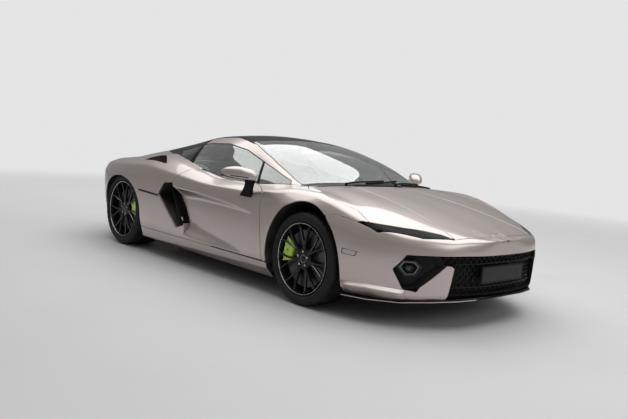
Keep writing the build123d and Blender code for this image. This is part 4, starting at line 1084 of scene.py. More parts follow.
class BuildFront(bpy.types.Operator):
    """Build the front bumper"""
    bl_idname = "supercar.front"
    bl_label = "Front bumper"

    def execute(self, context):
        hull, _ = body_skins()
        h, _ = zones()
        gap = sizes()["gap"]
        bumper = cut_out(AXLES["front"][0] - hull.x,
                         both_of(hull.side(FENDER_SIDE), FENDER_Y - np.abs(hull.y)), h.hood,
                         h.bonnet_side, h.lamp, h.arch, h.mouth)
        body_panel("front_bumper", [(hull, bumper, gap)], "body", ["front_bumper"], body_paint(),
                   inner_material=satin_black())
        return {"FINISHED"}


class BuildRear(bpy.types.Operator):
    """Build the rear quarters, the tail deck, the rear bumper and the sills"""
    bl_idname = "supercar.rear"
    bl_label = "Rear body"

    def execute(self, context):
        hull, canopy = body_skins()
        h, c = zones()
        gap = sizes()["gap"]
        paint, under = body_paint(), satin_black()
        low = cut_out(both_of(hull.x - 200, TAIL_SPLIT_X - hull.x), h.door, h.intake, h.arch, h.sill,
                      h.buried, h.lid, h.deck, h.vent)
        high = cut_out(both_of(canopy.x - LID_FRONT_X, TAIL_SPLIT_X - canopy.x), c.lid, c.sail, c.deck,
                       c.buried, c.rear_pane)
        body_panel("rear_quarters", [(hull, low, gap), (canopy, high, gap)], "body", ["rear_quarters"], paint,
                   inner_material=under)
        body_panel("tail_deck", [(canopy, cut_out(c.deck, c.buried), gap)], "body", ["tail_deck"], paint,
                   inner_material=under)
        tail = cut_out(h.tail, h.arch, h.lamps_rear, h.panel_rear, h.diffuser, h.buried)
        body_panel("rear_bumper", [(hull, tail, gap)], "body", ["rear_bumper"], paint, inner_material=under)
        body_panel("side_skirts", [(hull, cut_out(h.sill, h.arch), gap)], "body", ["side_skirts"], paint,
                   inner_material=under)
        return {"FINISHED"}


class BuildRoof(bpy.types.Operator):
    """Build the roof, its frame, the sails and the engine lid"""
    bl_idname = "supercar.roof"
    bl_label = "Roof and lid"

    def execute(self, context):
        _, canopy = body_skins()
        _, c = zones()
        size = sizes()
        gap = size["gap"]
        black = gloss_black()
        rails = cut_out(both_of(canopy.x - 1095, LID_FRONT_X - canopy.x), c.screen, c.roof, c.door_pane,
                        c.front_pane, c.rear_pane, c.sail, c.buried)
        body_panel("roof_frame", [(canopy, cut_out(rails, c.header), gap)], "body", ["roof_frame"],
                   body_paint(), inner_material=suede())
        body_panel("roof_header", [(canopy, both_of(rails, c.header), gap)], "body", [], black,
                   inner_material=suede())
        body_panel("roof_panel", [(canopy, c.roof, gap)], "body", ["roof_panel"], black,
                   inner_material=suede())
        body_panel("sails", [(canopy, cut_out(c.sail, c.lid, c.rear_pane, c.buried), gap)], "body", ["sails"],
                   black, slot="gloss_black")
        lid = cut_out(c.lid, c.buried, *c.louvres)
        body_panel("engine_lid", [(canopy, lid, size["shut"])], "engine_lid", ["engine_lid"], black,
                   slot="gloss_black")
        return {"FINISHED"}


class BuildGlass(bpy.types.Operator):
    """Build the windscreen and the side windows, with their pillars and seals"""
    bl_idname = "supercar.glass"
    bl_label = "Glass"

    def execute(self, context):
        _, canopy = body_skins()
        _, c = zones()
        size = sizes()
        gap = size["gap"]
        clear = glass("ClearGlass", (0.78, 0.82, 0.80), ior=2.0)
        dark = glass("DarkGlass", (0.10, 0.11, 0.115))
        body_panel("windscreen", [(canopy, cut_out(c.screen, c.buried), gap)], "body", ["windscreen"], clear,
                   thickness=5, slot="clear_glass")
        body_panel("quarter_glass", [(canopy, cut_out(c.rear_pane, c.buried), gap)], "body",
                   ["quarter_glass"], dark, thickness=5, slot="dark_glass")
        body_panel("front_quarter_glass", [(canopy, cut_out(c.front_pane, c.buried), gap)], "body", [], clear,
                   thickness=5, slot="clear_glass")
        seals = [(inlaid(canopy, (-430, 705), (-582, cant_line(-582) - GLASS_DROP), 34, 22), 0),
                 (inlaid(canopy, (604, 705), (448, cant_line(448) - GLASS_DROP), 15, 13), 0)]
        piece("window_pillars", with_mirror(seals), [gloss_black()], "body", (), "gloss_black")
        line = [side_at(canopy, x, z) + Vector((0, -1.5, 0)) for x, z in sampled(DOOR_PANE, 22.0)]
        bead = [(tube(line + line[:1], 4.5, 8), 0)]
        for (name, sign), near in zip(SIDES, (c.left, c.right)):
            piece("window_seal_" + name, for_side(bead, sign), [rubber()], "door_" + name, ())
            pane = cut_out(both_of(c.door_pane, near), c.buried)
            body_panel("door_glass_" + name, [(canopy, pane, size["shut"])], "door_" + name,
                       ["door_glass_" + name], clear, thickness=5, slot="clear_glass")
        return {"FINISHED"}


# ---- helpers that follow the skins -------------------------------------------------------------
def sampled(outline, step=12.0, closed=True):
    """Points along an outline, at most a step apart."""
    points = []
    ends = outline[1:] + (outline[:1] if closed else ())
    for (a0, b0), (a1, b1) in zip(outline, ends):
        count = max(1, int(math.hypot(a1 - a0, b1 - b0) / step))
        points += [(a0 + (a1 - a0) * k / count, b0 + (b1 - b0) * k / count) for k in range(count)]
    if not closed:
        points.append(outline[-1])
    return points


def both_halves(half):
    """Whole outline from its left half, which starts and ends on the centre line."""
    return half + tuple((-a, b) for a, b in reversed(half) if a)


def hit(skin, start, way):
    """Where a line first meets a skin, or None."""
    spot, _, _, _ = skin.tree().ray_cast(Vector(start), Vector(way))
    return spot


def nose_at(skin, y, z, least=1900):
    """Point of the nose at y, z seen from ahead, no further back than least."""
    spot = hit(skin, (3000, y, z), (-1, 0, 0))
    return Vector((NOSE_X if spot is None else max(spot.x, least), y, z))


def tail_at(skin, y, z):
    """Outer point of the tail at y, z."""
    spot = hit(skin, (-3000, y, z), (1, 0, 0))
    return Vector((TAIL_X if spot is None else min(max(spot.x, TAIL_X), TAIL_X + 60), y, z))


def side_at(skin, x, z):
    """Point of the left flank at x, z."""
    spot = hit(skin, (x, 2000, z), (0, -1, 0))
    return Vector((x, 985 if spot is None else spot.y, z))


def top_at(skin, x, y):
    spot = hit(skin, (x, y, 2000), (0, 0, -1))
    return Vector((x, y, 700 if spot is None else spot.z))


def collar(front, back, inset):
    """Wall round an opening, from its front edge to its back edge, thickened towards its middle."""
    middle = sum(front, Vector()) / len(front)
    rings = []
    for a, b in zip(front, back):
        aside = middle - a
        aside -= aside.project(b - a) if (b - a).length else Vector()
        aside = aside.normalized() * inset
        rings.append((a, b, b + aside, a + aside))
    return lofted(rings, closed=True)


def sunk_skin(skin, depth):
    """A skin that lies a depth inside another."""
    return Skin(skin.points - skin.normals * depth)


def hex_mesh(inside, at, low, high, cell, bar, deep):
    """Honeycomb of bars: at gives a point from a, b, inside says where there is mesh."""
    rows = []
    high_step, wide_step = cell * math.sqrt(3) / 2, cell * 1.5 / math.sqrt(3)
    a_count, b_count = int((high[0] - low[0]) / wide_step) + 2, int((high[1] - low[1]) / high_step) + 2
    reach = cell / math.sqrt(3)
    for i in range(a_count):
        for j in range(b_count):
            if (i + j) % 2:
                continue
            a, b = low[0] + i * wide_step, low[1] + j * high_step
            for corner in range(3):
                angle0, angle1 = math.pi / 3 * corner, math.pi / 3 * (corner + 1)
                ends = [(a + reach * math.cos(t), b + reach * math.sin(t)) for t in (angle0, angle1)]
                if inside(*ends[0]) and inside(*ends[1]):
                    rows.append(bar_between(at(*ends[0]), at(*ends[1]), bar, deep))
    return joined(rows)


def bar_between(start, end, wide, deep):
    """Flat bar whose deep side points along X."""
    start, end = Vector(start), Vector(end)
    way = (end - start).normalized()
    inward = Vector((-1, 0, 0))
    aside = way.cross(inward).normalized() * wide / 2
    rings = [[end_point - aside, end_point + aside, end_point + aside + inward * deep,
              end_point - aside + inward * deep] for end_point in (start, end)]
    return lofted(rings)


def joined(shapes):
    vertices, faces = [], []
    for shape in shapes:
        first = len(vertices)
        vertices += list(shape[0])
        faces += [tuple(first + i for i in face) for face in shape[1]]
    return vertices, faces


# ---- the front ---------------------------------------------------------------------------------
PLATE_HALF, PLATE_RISE, PLATE_Z = 250, 54, 366
GRILLE_INSET = 70.0
HOOD_ROOM_X = 1082
MESH_CELL = 30.0
DAY_LAMP_FRONT = ((779, 407), (755, 454), (695, 456), (664, 417), (686, 357), (738, 345))
RECESS_FRONT = ((744, 488), (794, 389), (736, 262), (668, 281), (545, 432), (590, 492))
MOUTH_HALF = ((0, 494), (430, 498), (590, 492), (545, 440), (487, 428), (509, 215), (300, 190), (0, 186))


class BuildGrille(bpy.types.Operator):
    """Build the mouth: its walls, honeycomb, backing, bars and the blank plate"""
    bl_idname = "supercar.grille"
    bl_label = "Grille"

    def execute(self, context):
        hull, _ = body_skins()
        rows = []
        edge = [nose_at(hull, a, max(b, 238)) for a, b in sampled(both_halves(MOUTH_HALF), 14.0)]
        deep = [Vector((min(p.x - 26, 2215), p.y * 0.985, p.z)) for p in edge]
        rows.append((collar(edge, deep, 3.0), 0))
        recess_edge = [nose_at(hull, a, b, 1850) for a, b in sampled(RECESS_FRONT, 12.0)]
        sunk = [p + Vector((-60, 0, 0)) + (Vector((0, 722, 380)) - Vector((0, p.y, p.z))) * 0.12
                for p in recess_edge]
        floor_back = [p + Vector((-8, 0, 0)) for p in sunk]
        rows += with_mirror([(collar(recess_edge, sunk, 3.0), 0), (lofted([sunk, floor_back]), 0)])

        def inset_at(y, z):
            return nose_at(hull, y, max(z, 240)) + Vector((-GRILLE_INSET * 0.5, 0, 0))

        def in_mouth(y, z):
            behind_plate = abs(y) < PLATE_HALF - 4 and abs(z - PLATE_Z) < PLATE_RISE - 4
            return from_outline(np.array([abs(y)]), np.array([z]), MOUTH_HALF)[0] < -4 and not behind_plate

        mesh = hex_mesh(in_mouth, inset_at, (-520, 205), (520, 492), MESH_CELL, 4.0, 12.0)
        rows.append((mesh, 1))
        for z in (290, 446):
            line = [inset_at(y, z) + Vector((10, 0, 0)) for y in range(-470, 471, 47)]
            rings = [[p, p + Vector((-18, 0, 2)), p + Vector((-18, 0, -5)), p + Vector((0, 0, -7))]
                     for p in line]
            rows.append((lofted(rings), 0))
        line = [inset_at(y, 240) + Vector((-30, 0, 0)) for y in range(-560, 561, 56)]
        rings = [[p + Vector((0, 0, 250)), p + Vector((-10, 0, 250)), p + Vector((-10, 0, -60)),
                  p + Vector((0, 0, -60))] for p in line]
        rows.append((lofted(rings), 0))
        piece("front_grille", rows, [satin_black(), mesh_black()], "body", ["front_grille"], "matte_black",
              bevel=0.8, segments=1)
        plate_rows = []
        for front, back, grow, number in ((-1.5, 1.5, 0, 0), (-6, -1.5, 5, 1)):
            high = PLATE_RISE + grow
            corners = ((front, -high), (back, -high), (back, high), (front, high))
            line = np.linspace(-PLATE_HALF - grow, PLATE_HALF + grow, 25)
            plate_rows.append((lofted([[plate_line(hull, y) + Vector((dx, 0, dz)) for dx, dz in corners]
                                       for y in line]), number))
        for z, half in ((PLATE_Z - PLATE_RISE + 3, 3), (PLATE_Z + PLATE_RISE - 3, 3)):
            rings = []
            for y in np.linspace(-PLATE_HALF, PLATE_HALF, 25):
                at = plate_line(hull, y)
                rings.append([(at.x + dx, at.y, z + dz)
                              for dx, dz in ((1, -half), (3, -half + 1), (3, half - 1), (1, half))])
            plate_rows.append((lofted(rings), 1))
        for side in (-1, 1):
            at = plate_line(hull, side * (PLATE_HALF - 3))
            plate_rows.append((box(at.x + 1, at.x + 3, at.y - 3, at.y + 3, PLATE_Z - PLATE_RISE,
                                   PLATE_Z + PLATE_RISE), 1))
            at = plate_line(hull, side * PLATE_HALF * 0.7)
            plate_rows.append((rod(at + Vector((-2, 0, 0)), at + Vector((3.5, 0, 0)), 5, 6), 1))
            plate_rows.append((box(at.x - 60, at.x - 5, at.y - 18, at.y + 18, PLATE_Z - 24, PLATE_Z + 24), 1))
        piece("front_plate", plate_rows, [plate_black(), satin_black()], "body", (), "gloss_black", bevel=0.8,
              segments=1)
        return {"FINISHED"}


def plate_line(hull, y):
    """Point of the front plate's middle line, a little inside the nose."""
    near = nose_at(hull, y, PLATE_Z)
    return Vector((min(near.x, 2296) - 10, y, PLATE_Z))


def plate_black():
    return finish("PlateBlack", (0.014, 0.014, 0.015), 0.4, grain=(900.0, 0.00004), film=0.02, specular=0.25)


def blank_plate(x, z, half, high):
    """Blank plate that faces back, with a raised rim, on a bracket ahead of it."""
    def slab(x0, x1, grow):
        return box(x0, x1, -half - grow, half + grow, z - high - grow, z + high + grow)
    rows = [(slab(x, x + 3, 0), 0), (slab(x + 3, x + 9, 5), 1)]
    for y0, y1, z0, z1 in ((-half, half, z + high - 5, z + high), (-half, half, z - high, z - high + 5),
                           (-half, 5 - half, z - high, z + high), (half - 5, half, z - high, z + high)):
        rows.append((box(x - 1.5, x, y0, y1, z0, z1), 1))
    rows.append((box(x + 9, x + 40, -half * 0.6, half * 0.6, z - high * 0.5, z + high * 0.5), 1))
    for y in (-half * 0.7, half * 0.7):
        rows.append((rod((x + 2, y, z), (x - 2.5, y, z), 5, 6), 1))
    return rows


class BuildDayLamps(bpy.types.Operator):
    """Build the hexagonal day lamps with their rings, bowls, ribs and lenses"""
    bl_idname = "supercar.day_lamps"
    bl_label = "Day lamps"

    def execute(self, context):
        centre, slope = Vector((2052, 721, 398)), 1.02
        outward = Vector((1, slope, 0)).normalized()
        corners = [Vector((centre.x + (centre.y - y) * slope, y, z)) - centre for y, z in DAY_LAMP_FRONT]

        def at(k, scale, depth):
            return centre + corners[k] * scale + outward * depth

        def hexagon(profile):
            return lofted([[at(k, scale, depth) for scale, depth in profile] for k in range(6)], closed=True)

        ring = hexagon(((1.0, -46), (1.0, -6), (0.94, 2), (0.86, 0), (0.80, -8), (0.80, -46)))
        guide = hexagon(((0.78, -34), (0.78, -14), (0.72, -11), (0.68, -14), (0.68, -34)))
        bowl = hexagon(((0.66, -12), (0.66, -40), (0.40, -40), (0.40, -22)))
        rows = [(ring, 0), (guide, 2), (bowl, 1)]
        rows += [(rod(at(k, 0.665, -11), at(k, 0.39, -21), 2.2, 6), 0) for k in range(6)]
        rows.append((hexagon(((0.40, -24), (0.40, -8), (0.36, -5), (0.32, -8), (0.32, -24))), 0))
        back = [at(k, 0.98, -46) for k in range(6)]
        rows.append((lofted([back, [p - outward * 6 for p in back]]), 1))
        lens_rings, across = [], Vector((-slope, 1, 0)).normalized()
        for radius, depth in ((13, -26), (13, -14), (11, -8.5), (7.5, -5), (3.5, -3.2), (0.6, -2.8)):
            lens_rings.append([centre + outward * depth + across * radius * math.cos(t)
                               + Vector((0, 0, 1)) * radius * math.sin(t)
                               for t in circle(20)])
        rows.append((lofted(lens_rings), 3))
        rows.append((rod(centre + outward * -34, centre + outward * -27, 26, 24), 0))
        rows = with_mirror(rows)
        materials = [bezel(), gloss_black(), lamp_white(), glass("LampLens", (0.75, 0.78, 0.8))]
        piece("day_lamps", rows, materials, "body", ["day_lamps"], "lamp_glass", bevel=0.8)
        return {"FINISHED"}


def bezel():
    return finish("LampBezel", (0.055, 0.055, 0.058), 0.28, metallic=0.6, film=0.02, varied=0.06)


class BuildHeadlamps(bpy.types.Operator):
    """Build the slit headlamps: smoked lenses, housings, projectors and light blades"""
    bl_idname = "supercar.headlamps"
    bl_label = "Headlamps"

    def execute(self, context):
        hull, _ = body_skins()
        h, _ = zones()
        lens = glass("SmokedLens", (0.12, 0.122, 0.125), ior=1.2)
        body_panel("headlamps", [(hull, h.lamp, sizes()["gap"])], "body", ["headlamps"], lens, thickness=3.5,
                   slot="lamp_glass")
        low = sunk_skin(hull, 46)
        housing = both_of(low.plan(LAMP_PLAN), above(low, 400))
        body_panel("headlamp_housings", [(low, housing, 0)], "body", (), satin_black(), thickness=3,
                   slot="matte_black")
        edge = [top_at(hull, x, y) + Vector((0, 0, -4)) for x, y in sampled(LAMP_PLAN, 14.0)]
        deep = [p + Vector((-8, -8, -46)) for p in edge]
        rows = [(collar(edge, deep, 2.5), 0)]
        blade = ((1760, 846), (1960, 672), (2120, 508), (2112, 530), (1962, 700), (1800, 850))
        line = [top_at(hull, x, y) + Vector((0, 0, -20)) for x, y in sampled(blade, 16.0)]
        rows.append((lofted([line, [p + Vector((0, 0, -7)) for p in line]]), 1))
        for x, y, r in ((1850, 800, 24), (1922, 745, 25), (1990, 682, 24), (2052, 612, 19)):
            at = top_at(hull, x, y) + Vector((-6, -2, -36))
            way = Vector((0.82, 0.35, 0.12)).normalized()
            rows.append((rod(at - way * 14, at + way * 8, r, 20, r * 0.93), 2))
            rows.append((rod(at + way * 8, at + way * 13, r * 0.72, 20, r * 0.40), 3))
        rows = with_mirror(rows)
        materials = [gloss_black(), lamp_white(), chrome(), glass("LampLens", (0.75, 0.78, 0.8))]
        piece("headlamp_internals", rows, materials, "body", (), "lamp_glass", bevel=0.6)
        return {"FINISHED"}


class BuildCowl(bpy.types.Operator):
    """Build the slotted cowl, the wipers and their blades"""
    bl_idname = "supercar.cowl"
    bl_label = "Cowl and wipers"

    def execute(self, context):
        hull, canopy = body_skins()
        h, _ = zones()
        cowl = cut_out(both_of(h.cowl, hull.x - HOOD_ROOM_X), h.hood, h.buried)
        body_panel("cowl", [(hull, cowl, sizes()["gap"])], "body", ["cowl"], satin_black(),
                   slot="matte_black")
        rows = []
        for y in range(-640, 641, 32):
            at = top_at(hull, 1050, y)
            rows.append((box(at.x - 20, at.x + 26, at.y - 5, at.y + 5, at.z - 4, at.z + 2.5), 0))
        for pivot_y, tip_x, tip_y in ((-350, 905, 330), (230, 985, 640)):
            pivot = top_at(hull, 1058, pivot_y) + Vector((0, 0, 4))
            rows.append((rod(pivot + Vector((0, 0, -14)), pivot + Vector((0, 0, 18)), 15, 16, 11), 0))
            tip = screen_at(canopy, hull, tip_x, tip_y) + Vector((0, 0, 14))
            path = [pivot + Vector((0, 0, 12))]
            for k in range(1, 6):
                x, y = pivot.x + (tip.x - pivot.x) * k / 6, pivot.y + (tip.y - pivot.y) * k / 6
                path.append(screen_at(canopy, hull, x, y) + Vector((0, 0, 22)))
            rows.append((tube(path, 7, 8), 0))
            middle = (path[-1] + path[-2]) / 2
            along = (path[-1] - path[-3]).normalized()
            blade = []
            for k in range(-6, 9):
                p = middle + along * k * 36
                blade.append(screen_at(canopy, hull, p.x, p.y))
            for low, high, wide, number in ((0.8, 9, 2.2, 1), (9, 14, 5.5, 0)):
                aside = along.cross(Vector((0, 0, 1))).normalized() * wide
                rings = [[p + aside + Vector((0, 0, low)), p - aside + Vector((0, 0, low)),
                          p - aside + Vector((0, 0, high)), p + aside + Vector((0, 0, high))] for p in blade]
                rows.append((lofted(rings), number))
        piece("wipers", rows, [satin_black(), rubber()], "body", (), "matte_black", bevel=0.8)
        return {"FINISHED"}


def screen_at(canopy, hull, x, y):
    """Height of the glass or the body, whichever is on top."""
    a, b = top_at(canopy, x, y), top_at(hull, x, y)
    return a if a.z > b.z else b


LIP_LOW = ((1632, 168), (1819, 174), (1950, 182), (2035, 190))
LIP_CREASE = ((1632, 240), (1819, 246), (1950, 240), (2035, 233))


def lip_rings(hull):
    """Low ledge that stands out under the flank of the front bumper."""
    rings = []
    for x in np.linspace(1640, 2035, 26):
        low, crease = (float(np.interp(x, *np.array(line, float).T)) for line in (LIP_LOW, LIP_CREASE))
        rise = float(np.interp(x, (1640, 1690, 1990, 2035), (0.2, 1.0, 1.0, 0.5)))
        ahead = side_at(hull, x + 12, 240) - side_at(hull, x - 12, 240)
        out = Vector((-ahead.y, ahead.x, 0)).normalized()
        out = out if out.y > 0 else -out
        ring = []
        for z, stand in ((crease + 26, -3), (crease + 22, 0.3), (crease + 2, 26 * rise),
                         (crease - 5, 27 * rise), (low + 4, 16 * rise), (low, 10 * rise), (low, -8)):
            ring.append(side_at(hull, x, max(z, 176)) + out * stand)
            ring[-1].z = z
        rings.append(ring)
    return rings


class BuildLip(bpy.types.Operator):
    """Build the splitter with its painted edge, and the bumper's low ledge"""
    bl_idname = "supercar.splitter"
    bl_label = "Splitter"

    def execute(self, context):
        line = sampled(SPLITTER_PLAN, 20.0, closed=False)
        line += [(2301, 120), (2301, 0)]
        rows, edge = [], []

        def height(x):
            return float(np.interp(x, (1560, 2010, 2320), (162, 176, 215)))

        half = [(x, y, height(x), max(y - 260, 0)) for x, y in line]
        for sign in (1, -1):
            rings = []
            for x, y, z, inner in half:
                back = min(x - 30, 2060)
                rings.append([(x, sign * y, z + 1), (x - 8, sign * (y - 4), z + 9),
                              (back, sign * inner, height(back) + 10), (back, sign * inner, height(back) - 8),
                              (x - 8, sign * (y - 4), z - 9), (x, sign * y, z - 4)])
            rows.append((lofted(rings), 0))
            rings = []
            for x, y, z, _ in half[:-4]:
                rings.append([(x + 1, sign * (y + 0.6), z - 2), (x - 16, sign * (y - 9), z - 4),
                              (x - 16, sign * (y - 9), z - 10.5), (x + 1, sign * (y + 0.6), z - 8)])
            edge.append((lofted(rings), 1))
        hull, _ = body_skins()
        piece("bumper_lip", with_mirror([(lofted(lip_rings(hull)), 0)]), [body_paint()], "body", (),
              "body_paint", bevel=1.2)
        piece("front_splitter", rows + edge, [gloss_black(), body_paint()], "body", ["front_splitter"],
              "gloss_black", bevel=1.2)
        return {"FINISHED"}


# ---- doors, mirrors and side ducts -------------------------------------------------------------
SCOOP_DEPTH, SCOOP_START_X, SCOOP_LENGTH = 96.0, 700.0, 1240.0
SCOOP_TOP = ((-700, 700), (-560, 692), (-371, 662), (-49, 650), (205, 632), (446, 610), (683, 584))
SCOOP_LOW = ((-700, 360), (-300, 330), (-165, 268), (254, 256), (608, 252), (845, 250))
CREASE_SOFTNESS = 0.12
FINE_SPACING = 9.0


def eased_step(s, first, last):
    """0 below 0 and 1 above 1, straight between, with a soft corner at each end."""
    def ramp(t, softness):
        return np.where(t < -softness, 0, np.where(t > softness, t, (t + softness) ** 2 / (4 * softness)))
    return ramp(s, first) - ramp(s - 1, last)


def scoop_depth(x, z):
    """How far the door's side is hollowed at x, z."""
    deep = SCOOP_DEPTH * np.clip((SCOOP_START_X - x) / SCOOP_LENGTH, 0, 1)
    tops, lows = np.array(SCOOP_TOP).T, np.array(SCOOP_LOW).T
    down = (np.interp(x, *tops) - z) / (0.50 * deep + 6)
    up = (z - np.interp(x, *lows)) / (0.95 * deep + 12)
    return deep * eased_step(down, CREASE_SOFTNESS, 0.9) * eased_step(up, CREASE_SOFTNESS, 0.5)


def fine_side():
    """Close grid of the flank, hollowed where the doors are. One side only, +Y."""
    if "side" not in SKINS:
        hull = make_skins(FINE_SPACING)[0].points
        rows = np.flatnonzero((hull[:, 0, 0] < 900) & (hull[:, 0, 0] > -480))
        half = hull.shape[1] // 2
        points = hull[rows[0]:rows[-1] + 1, :half]
        keep = np.flatnonzero(points[..., 1].min(axis=0) > DOOR_TOP_Y - 60)
        points = points[:, keep].copy()
        points[..., 1] -= scoop_depth(points[..., 0], points[..., 2])
        SKINS["side"] = Skin(points)
    return SKINS["side"]


def mirrored_skin(skin):
    return Skin(skin.points * np.array([1, -1, 1]))


DOOR_CORE_Y = 862
DOOR_LEAN = 0.115


class BuildDoors(bpy.types.Operator):
    """Build the doors: hollowed skins, cores, cards, armrests, handles and speakers"""
    bl_idname = "supercar.doors"
    bl_label = "Doors"

    def execute(self, context):
        size = sizes()
        left = fine_side()
        for (name, sign), skin in zip(SIDES, (left, mirrored_skin(left))):
            body = "door_" + name
            field = both_of(skin.side(DOOR_SIDE), DOOR_TOP_Y - np.abs(skin.y), inner_top(skin))
            body_panel(body, [(skin, field, size["shut"])], body, [body], body_paint(),
                       inner_material=satin_black())
            materials = [satin_black(), leather(), suede(), machined(), stitch(), mesh_black(), body_paint()]
            piece("door_card_" + name, for_side(door_inside(left), sign), materials, body, (),
                  "cabin_trim", bevel=2.0)
        return {"FINISHED"}


def inner_top(skin):
    """Keep the panel outside the glass: below 0 where the side stands outside it."""
    return 800 - np.abs(skin.y)


def door_inside(skin):
    """Core, card, armrest, handle, speaker, release and rear edge of the left door."""
    rows = []
    core = ((838, 262), (832, 300), (748, 700), (560, 742), (-250, 742), (-320, 690), (-370, 620),
            (-200, 380), (-190, 262))
    front, back = [], []
    for x, z in sampled(core, 30.0):
        front.append(Vector((x, DOOR_CORE_Y, z)))
        lean = (DOOR_CORE_Y - 800) * DOOR_LEAN if x < 0 else 0
        back.append(Vector((x + lean + (10 if x < 0 else -10), 800, z)))
    rows.append((lofted([front, back]), 0))
    card = ((800, 300), (790, 560), (700, 720), (-230, 720), (-290, 650), (-160, 330), (-130, 290))
    middle = Vector((300, 800, 500))
    rings = []
    for y, grow in ((806, 1.0), (792, 1.0), (778, 0.965), (770, 0.90)):
        rings.append([middle + Vector(((x - 300) * grow, y - 800, (z - 500) * grow))
                      for x, z in sampled(card, 40.0)])
    rows.append((lofted(rings), 2))
    rest = []
    for x, y0, z0, z1 in ((560, 764, 470, 500), (480, 738, 462, 512), (200, 722, 468, 522),
                          (-60, 726, 478, 532), (-150, 756, 500, 530)):
        rest.append([(x, 775, z0), (x, y0 + 6, z0), (x, y0, z0 + 12), (x, y0, z1 - 10), (x, y0 + 8, z1),
                     (x, 775, z1)])
    rows.append((lofted(rest), 1))
    rows.append((tube([(430, 730, 556), (420, 706, 566), (300, 698, 582), (180, 698, 590), (60, 708, 590),
                       (50, 736, 586)], 9, 10), 3))
    for k in range(5):
        radius = 72 - 14 * k
        rows.append((turned(((radius, -3), (radius, 2), (radius - 4, 2), (radius - 4, -3)),
                            (560, 768, 390), 40), 5))
    rows.append((turned(((80, -4), (80, 4), (76, 5), (76, -4)), (560, 768, 390), 48), 3))
    rows.append((rod((620, 770, 610), (560, 758, 618), 6, 8), 3))
    seam = [(x, 769, z) for x, z in ((700, 690), (500, 700), (100, 700), (-180, 700))]
    rows.append((tube(seam, 1.6, 6), 4))
    seam = [(x, y - 1, z + 2) for x, y, z in ((480, 738, 512), (200, 722, 522), (-60, 726, 532))]
    rows.append((tube(seam, 1.3, 6), 4))
    edge = ((-411, 672), (-376, 610), (-286, 492), (-193, 366), (-192, 310), (-191, 262))
    rows.append((tube([side_at(skin, x, z) + Vector((0, 1.2, 0)) for x, z in edge], 3.0, 8), 6))
    return rows


# Mirror sections run outwards: y, middle x, middle z, length, height
MIRROR = ((940, 664, 842, 60, 30), (952, 655, 844, 118, 60), (980, 634, 848, 168, 84),
          (1015, 608, 852, 182, 92), (1050, 582, 856, 184, 94), (1085, 553, 858, 168, 84),
          (1112, 530, 860, 138, 66), (1127, 514, 861, 92, 44), (1133, 508, 862, 40, 18))
MIRROR_CUT, MIRROR_STEPS = 0.34, 22


class BuildMirrors(bpy.types.Operator):
    """Build the door mirrors: caps, dark lower shells, glasses, lamps and stalks"""
    bl_idname = "supercar.mirrors"
    bl_label = "Mirrors"

    def execute(self, context):
        silver = finish("MirrorGlass", (0.80, 0.82, 0.83), 0.03, metallic=1.0, varied=0.01, film=0.05)
        for name, sign in SIDES:
            materials = [body_paint(), gloss_black(), silver, amber()]
            piece("mirror_" + name, for_side(mirror_rows(), sign), materials, "door_" + name,
                  ["mirror_" + name], "body_paint", bevel=0.8, angle=50)
        return {"FINISHED"}


def mirror_ring(y, x, z, length, height, low, high, shrink=0.0):
    """Part of a section from one angle to another, closed by a straight run."""
    ring = []
    for k in range(MIRROR_STEPS + 1):
        angle = low + (high - low) * k / MIRROR_STEPS
        c, s = math.cos(angle), math.sin(angle)
        along = math.copysign(abs(c) ** 0.75, c) * (length / 2 - shrink)
        up = (abs(s) ** 0.95 * 0.74 if s > 0 else -abs(s) ** 0.45 * 0.30) * (height - 2 * shrink)
        along = max(along, -length * MIRROR_CUT)
        ring.append(Vector((x + along + 0.10 * up, y, z + up)))
    return ring


def mirror_rows():
    stations = np.array([row[0] for row in MIRROR], float)
    values = np.array([row[1:] for row in MIRROR], float)
    at = np.linspace(stations[0], stations[-1], 34)
    table = through(stations, values, at)
    caps, lowers = [], []
    for y, (x, z, length, height) in zip(at, table):
        split = math.radians(-28)
        caps.append(mirror_ring(y, x, z, length, height, split, math.pi - 0.02 + 0.30))
        lowers.append(mirror_ring(y, x, z, length, height, math.pi + 0.30, 2 * math.pi + split, shrink=1.5))
    rows = [(lofted(caps), 0), (lofted(lowers), 1)]
    rings = []
    for y, (x, z, length, height) in list(zip(at, table))[3:-4]:
        back = x - length * MIRROR_CUT
        rings.append([Vector((back + 4, y, z - height * 0.36)), Vector((back + 6, y, z + height * 0.38)),
                      Vector((back - 3.0, y, z + height * 0.38)), Vector((back - 3.4, y, z - height * 0.36))])
    rows.append((lofted(rings), 2))
    blinker = []
    for k in range(9):
        y, (x, z, length, height) = at[14 + 2 * k], table[14 + 2 * k]
        front = x + length / 2 - 1
        blinker.append([Vector((front, y, z - 9)), Vector((front + 3.0 - abs(k - 4) * 0.3, y, z - 7)),
                        Vector((front + 3.0 - abs(k - 4) * 0.3, y, z - 3)), Vector((front, y, z - 1))])
    rows.append((lofted(blinker), 1))
    foot = [(515, 930), (657, 930), (652, 958), (520, 962)]
    arm = []
    for z, shift, grow, lean in ((697, 0, 1.0, 0), (712, 0, 0.93, 2), (735, 14, 0.78, 8), (770, 36, 0.66, 16),
                                 (800, 52, 0.66, 22), (826, 60, 0.74, 26)):
        arm.append([(586 + (x - 586) * grow + shift, 944 + (y - 944) * grow + lean, z) for x, y in foot])
    rows.append((lofted(arm), 1))
    return rows


FENDER_LIP = ((-566, 688), (-652, 575), (-340, 318))


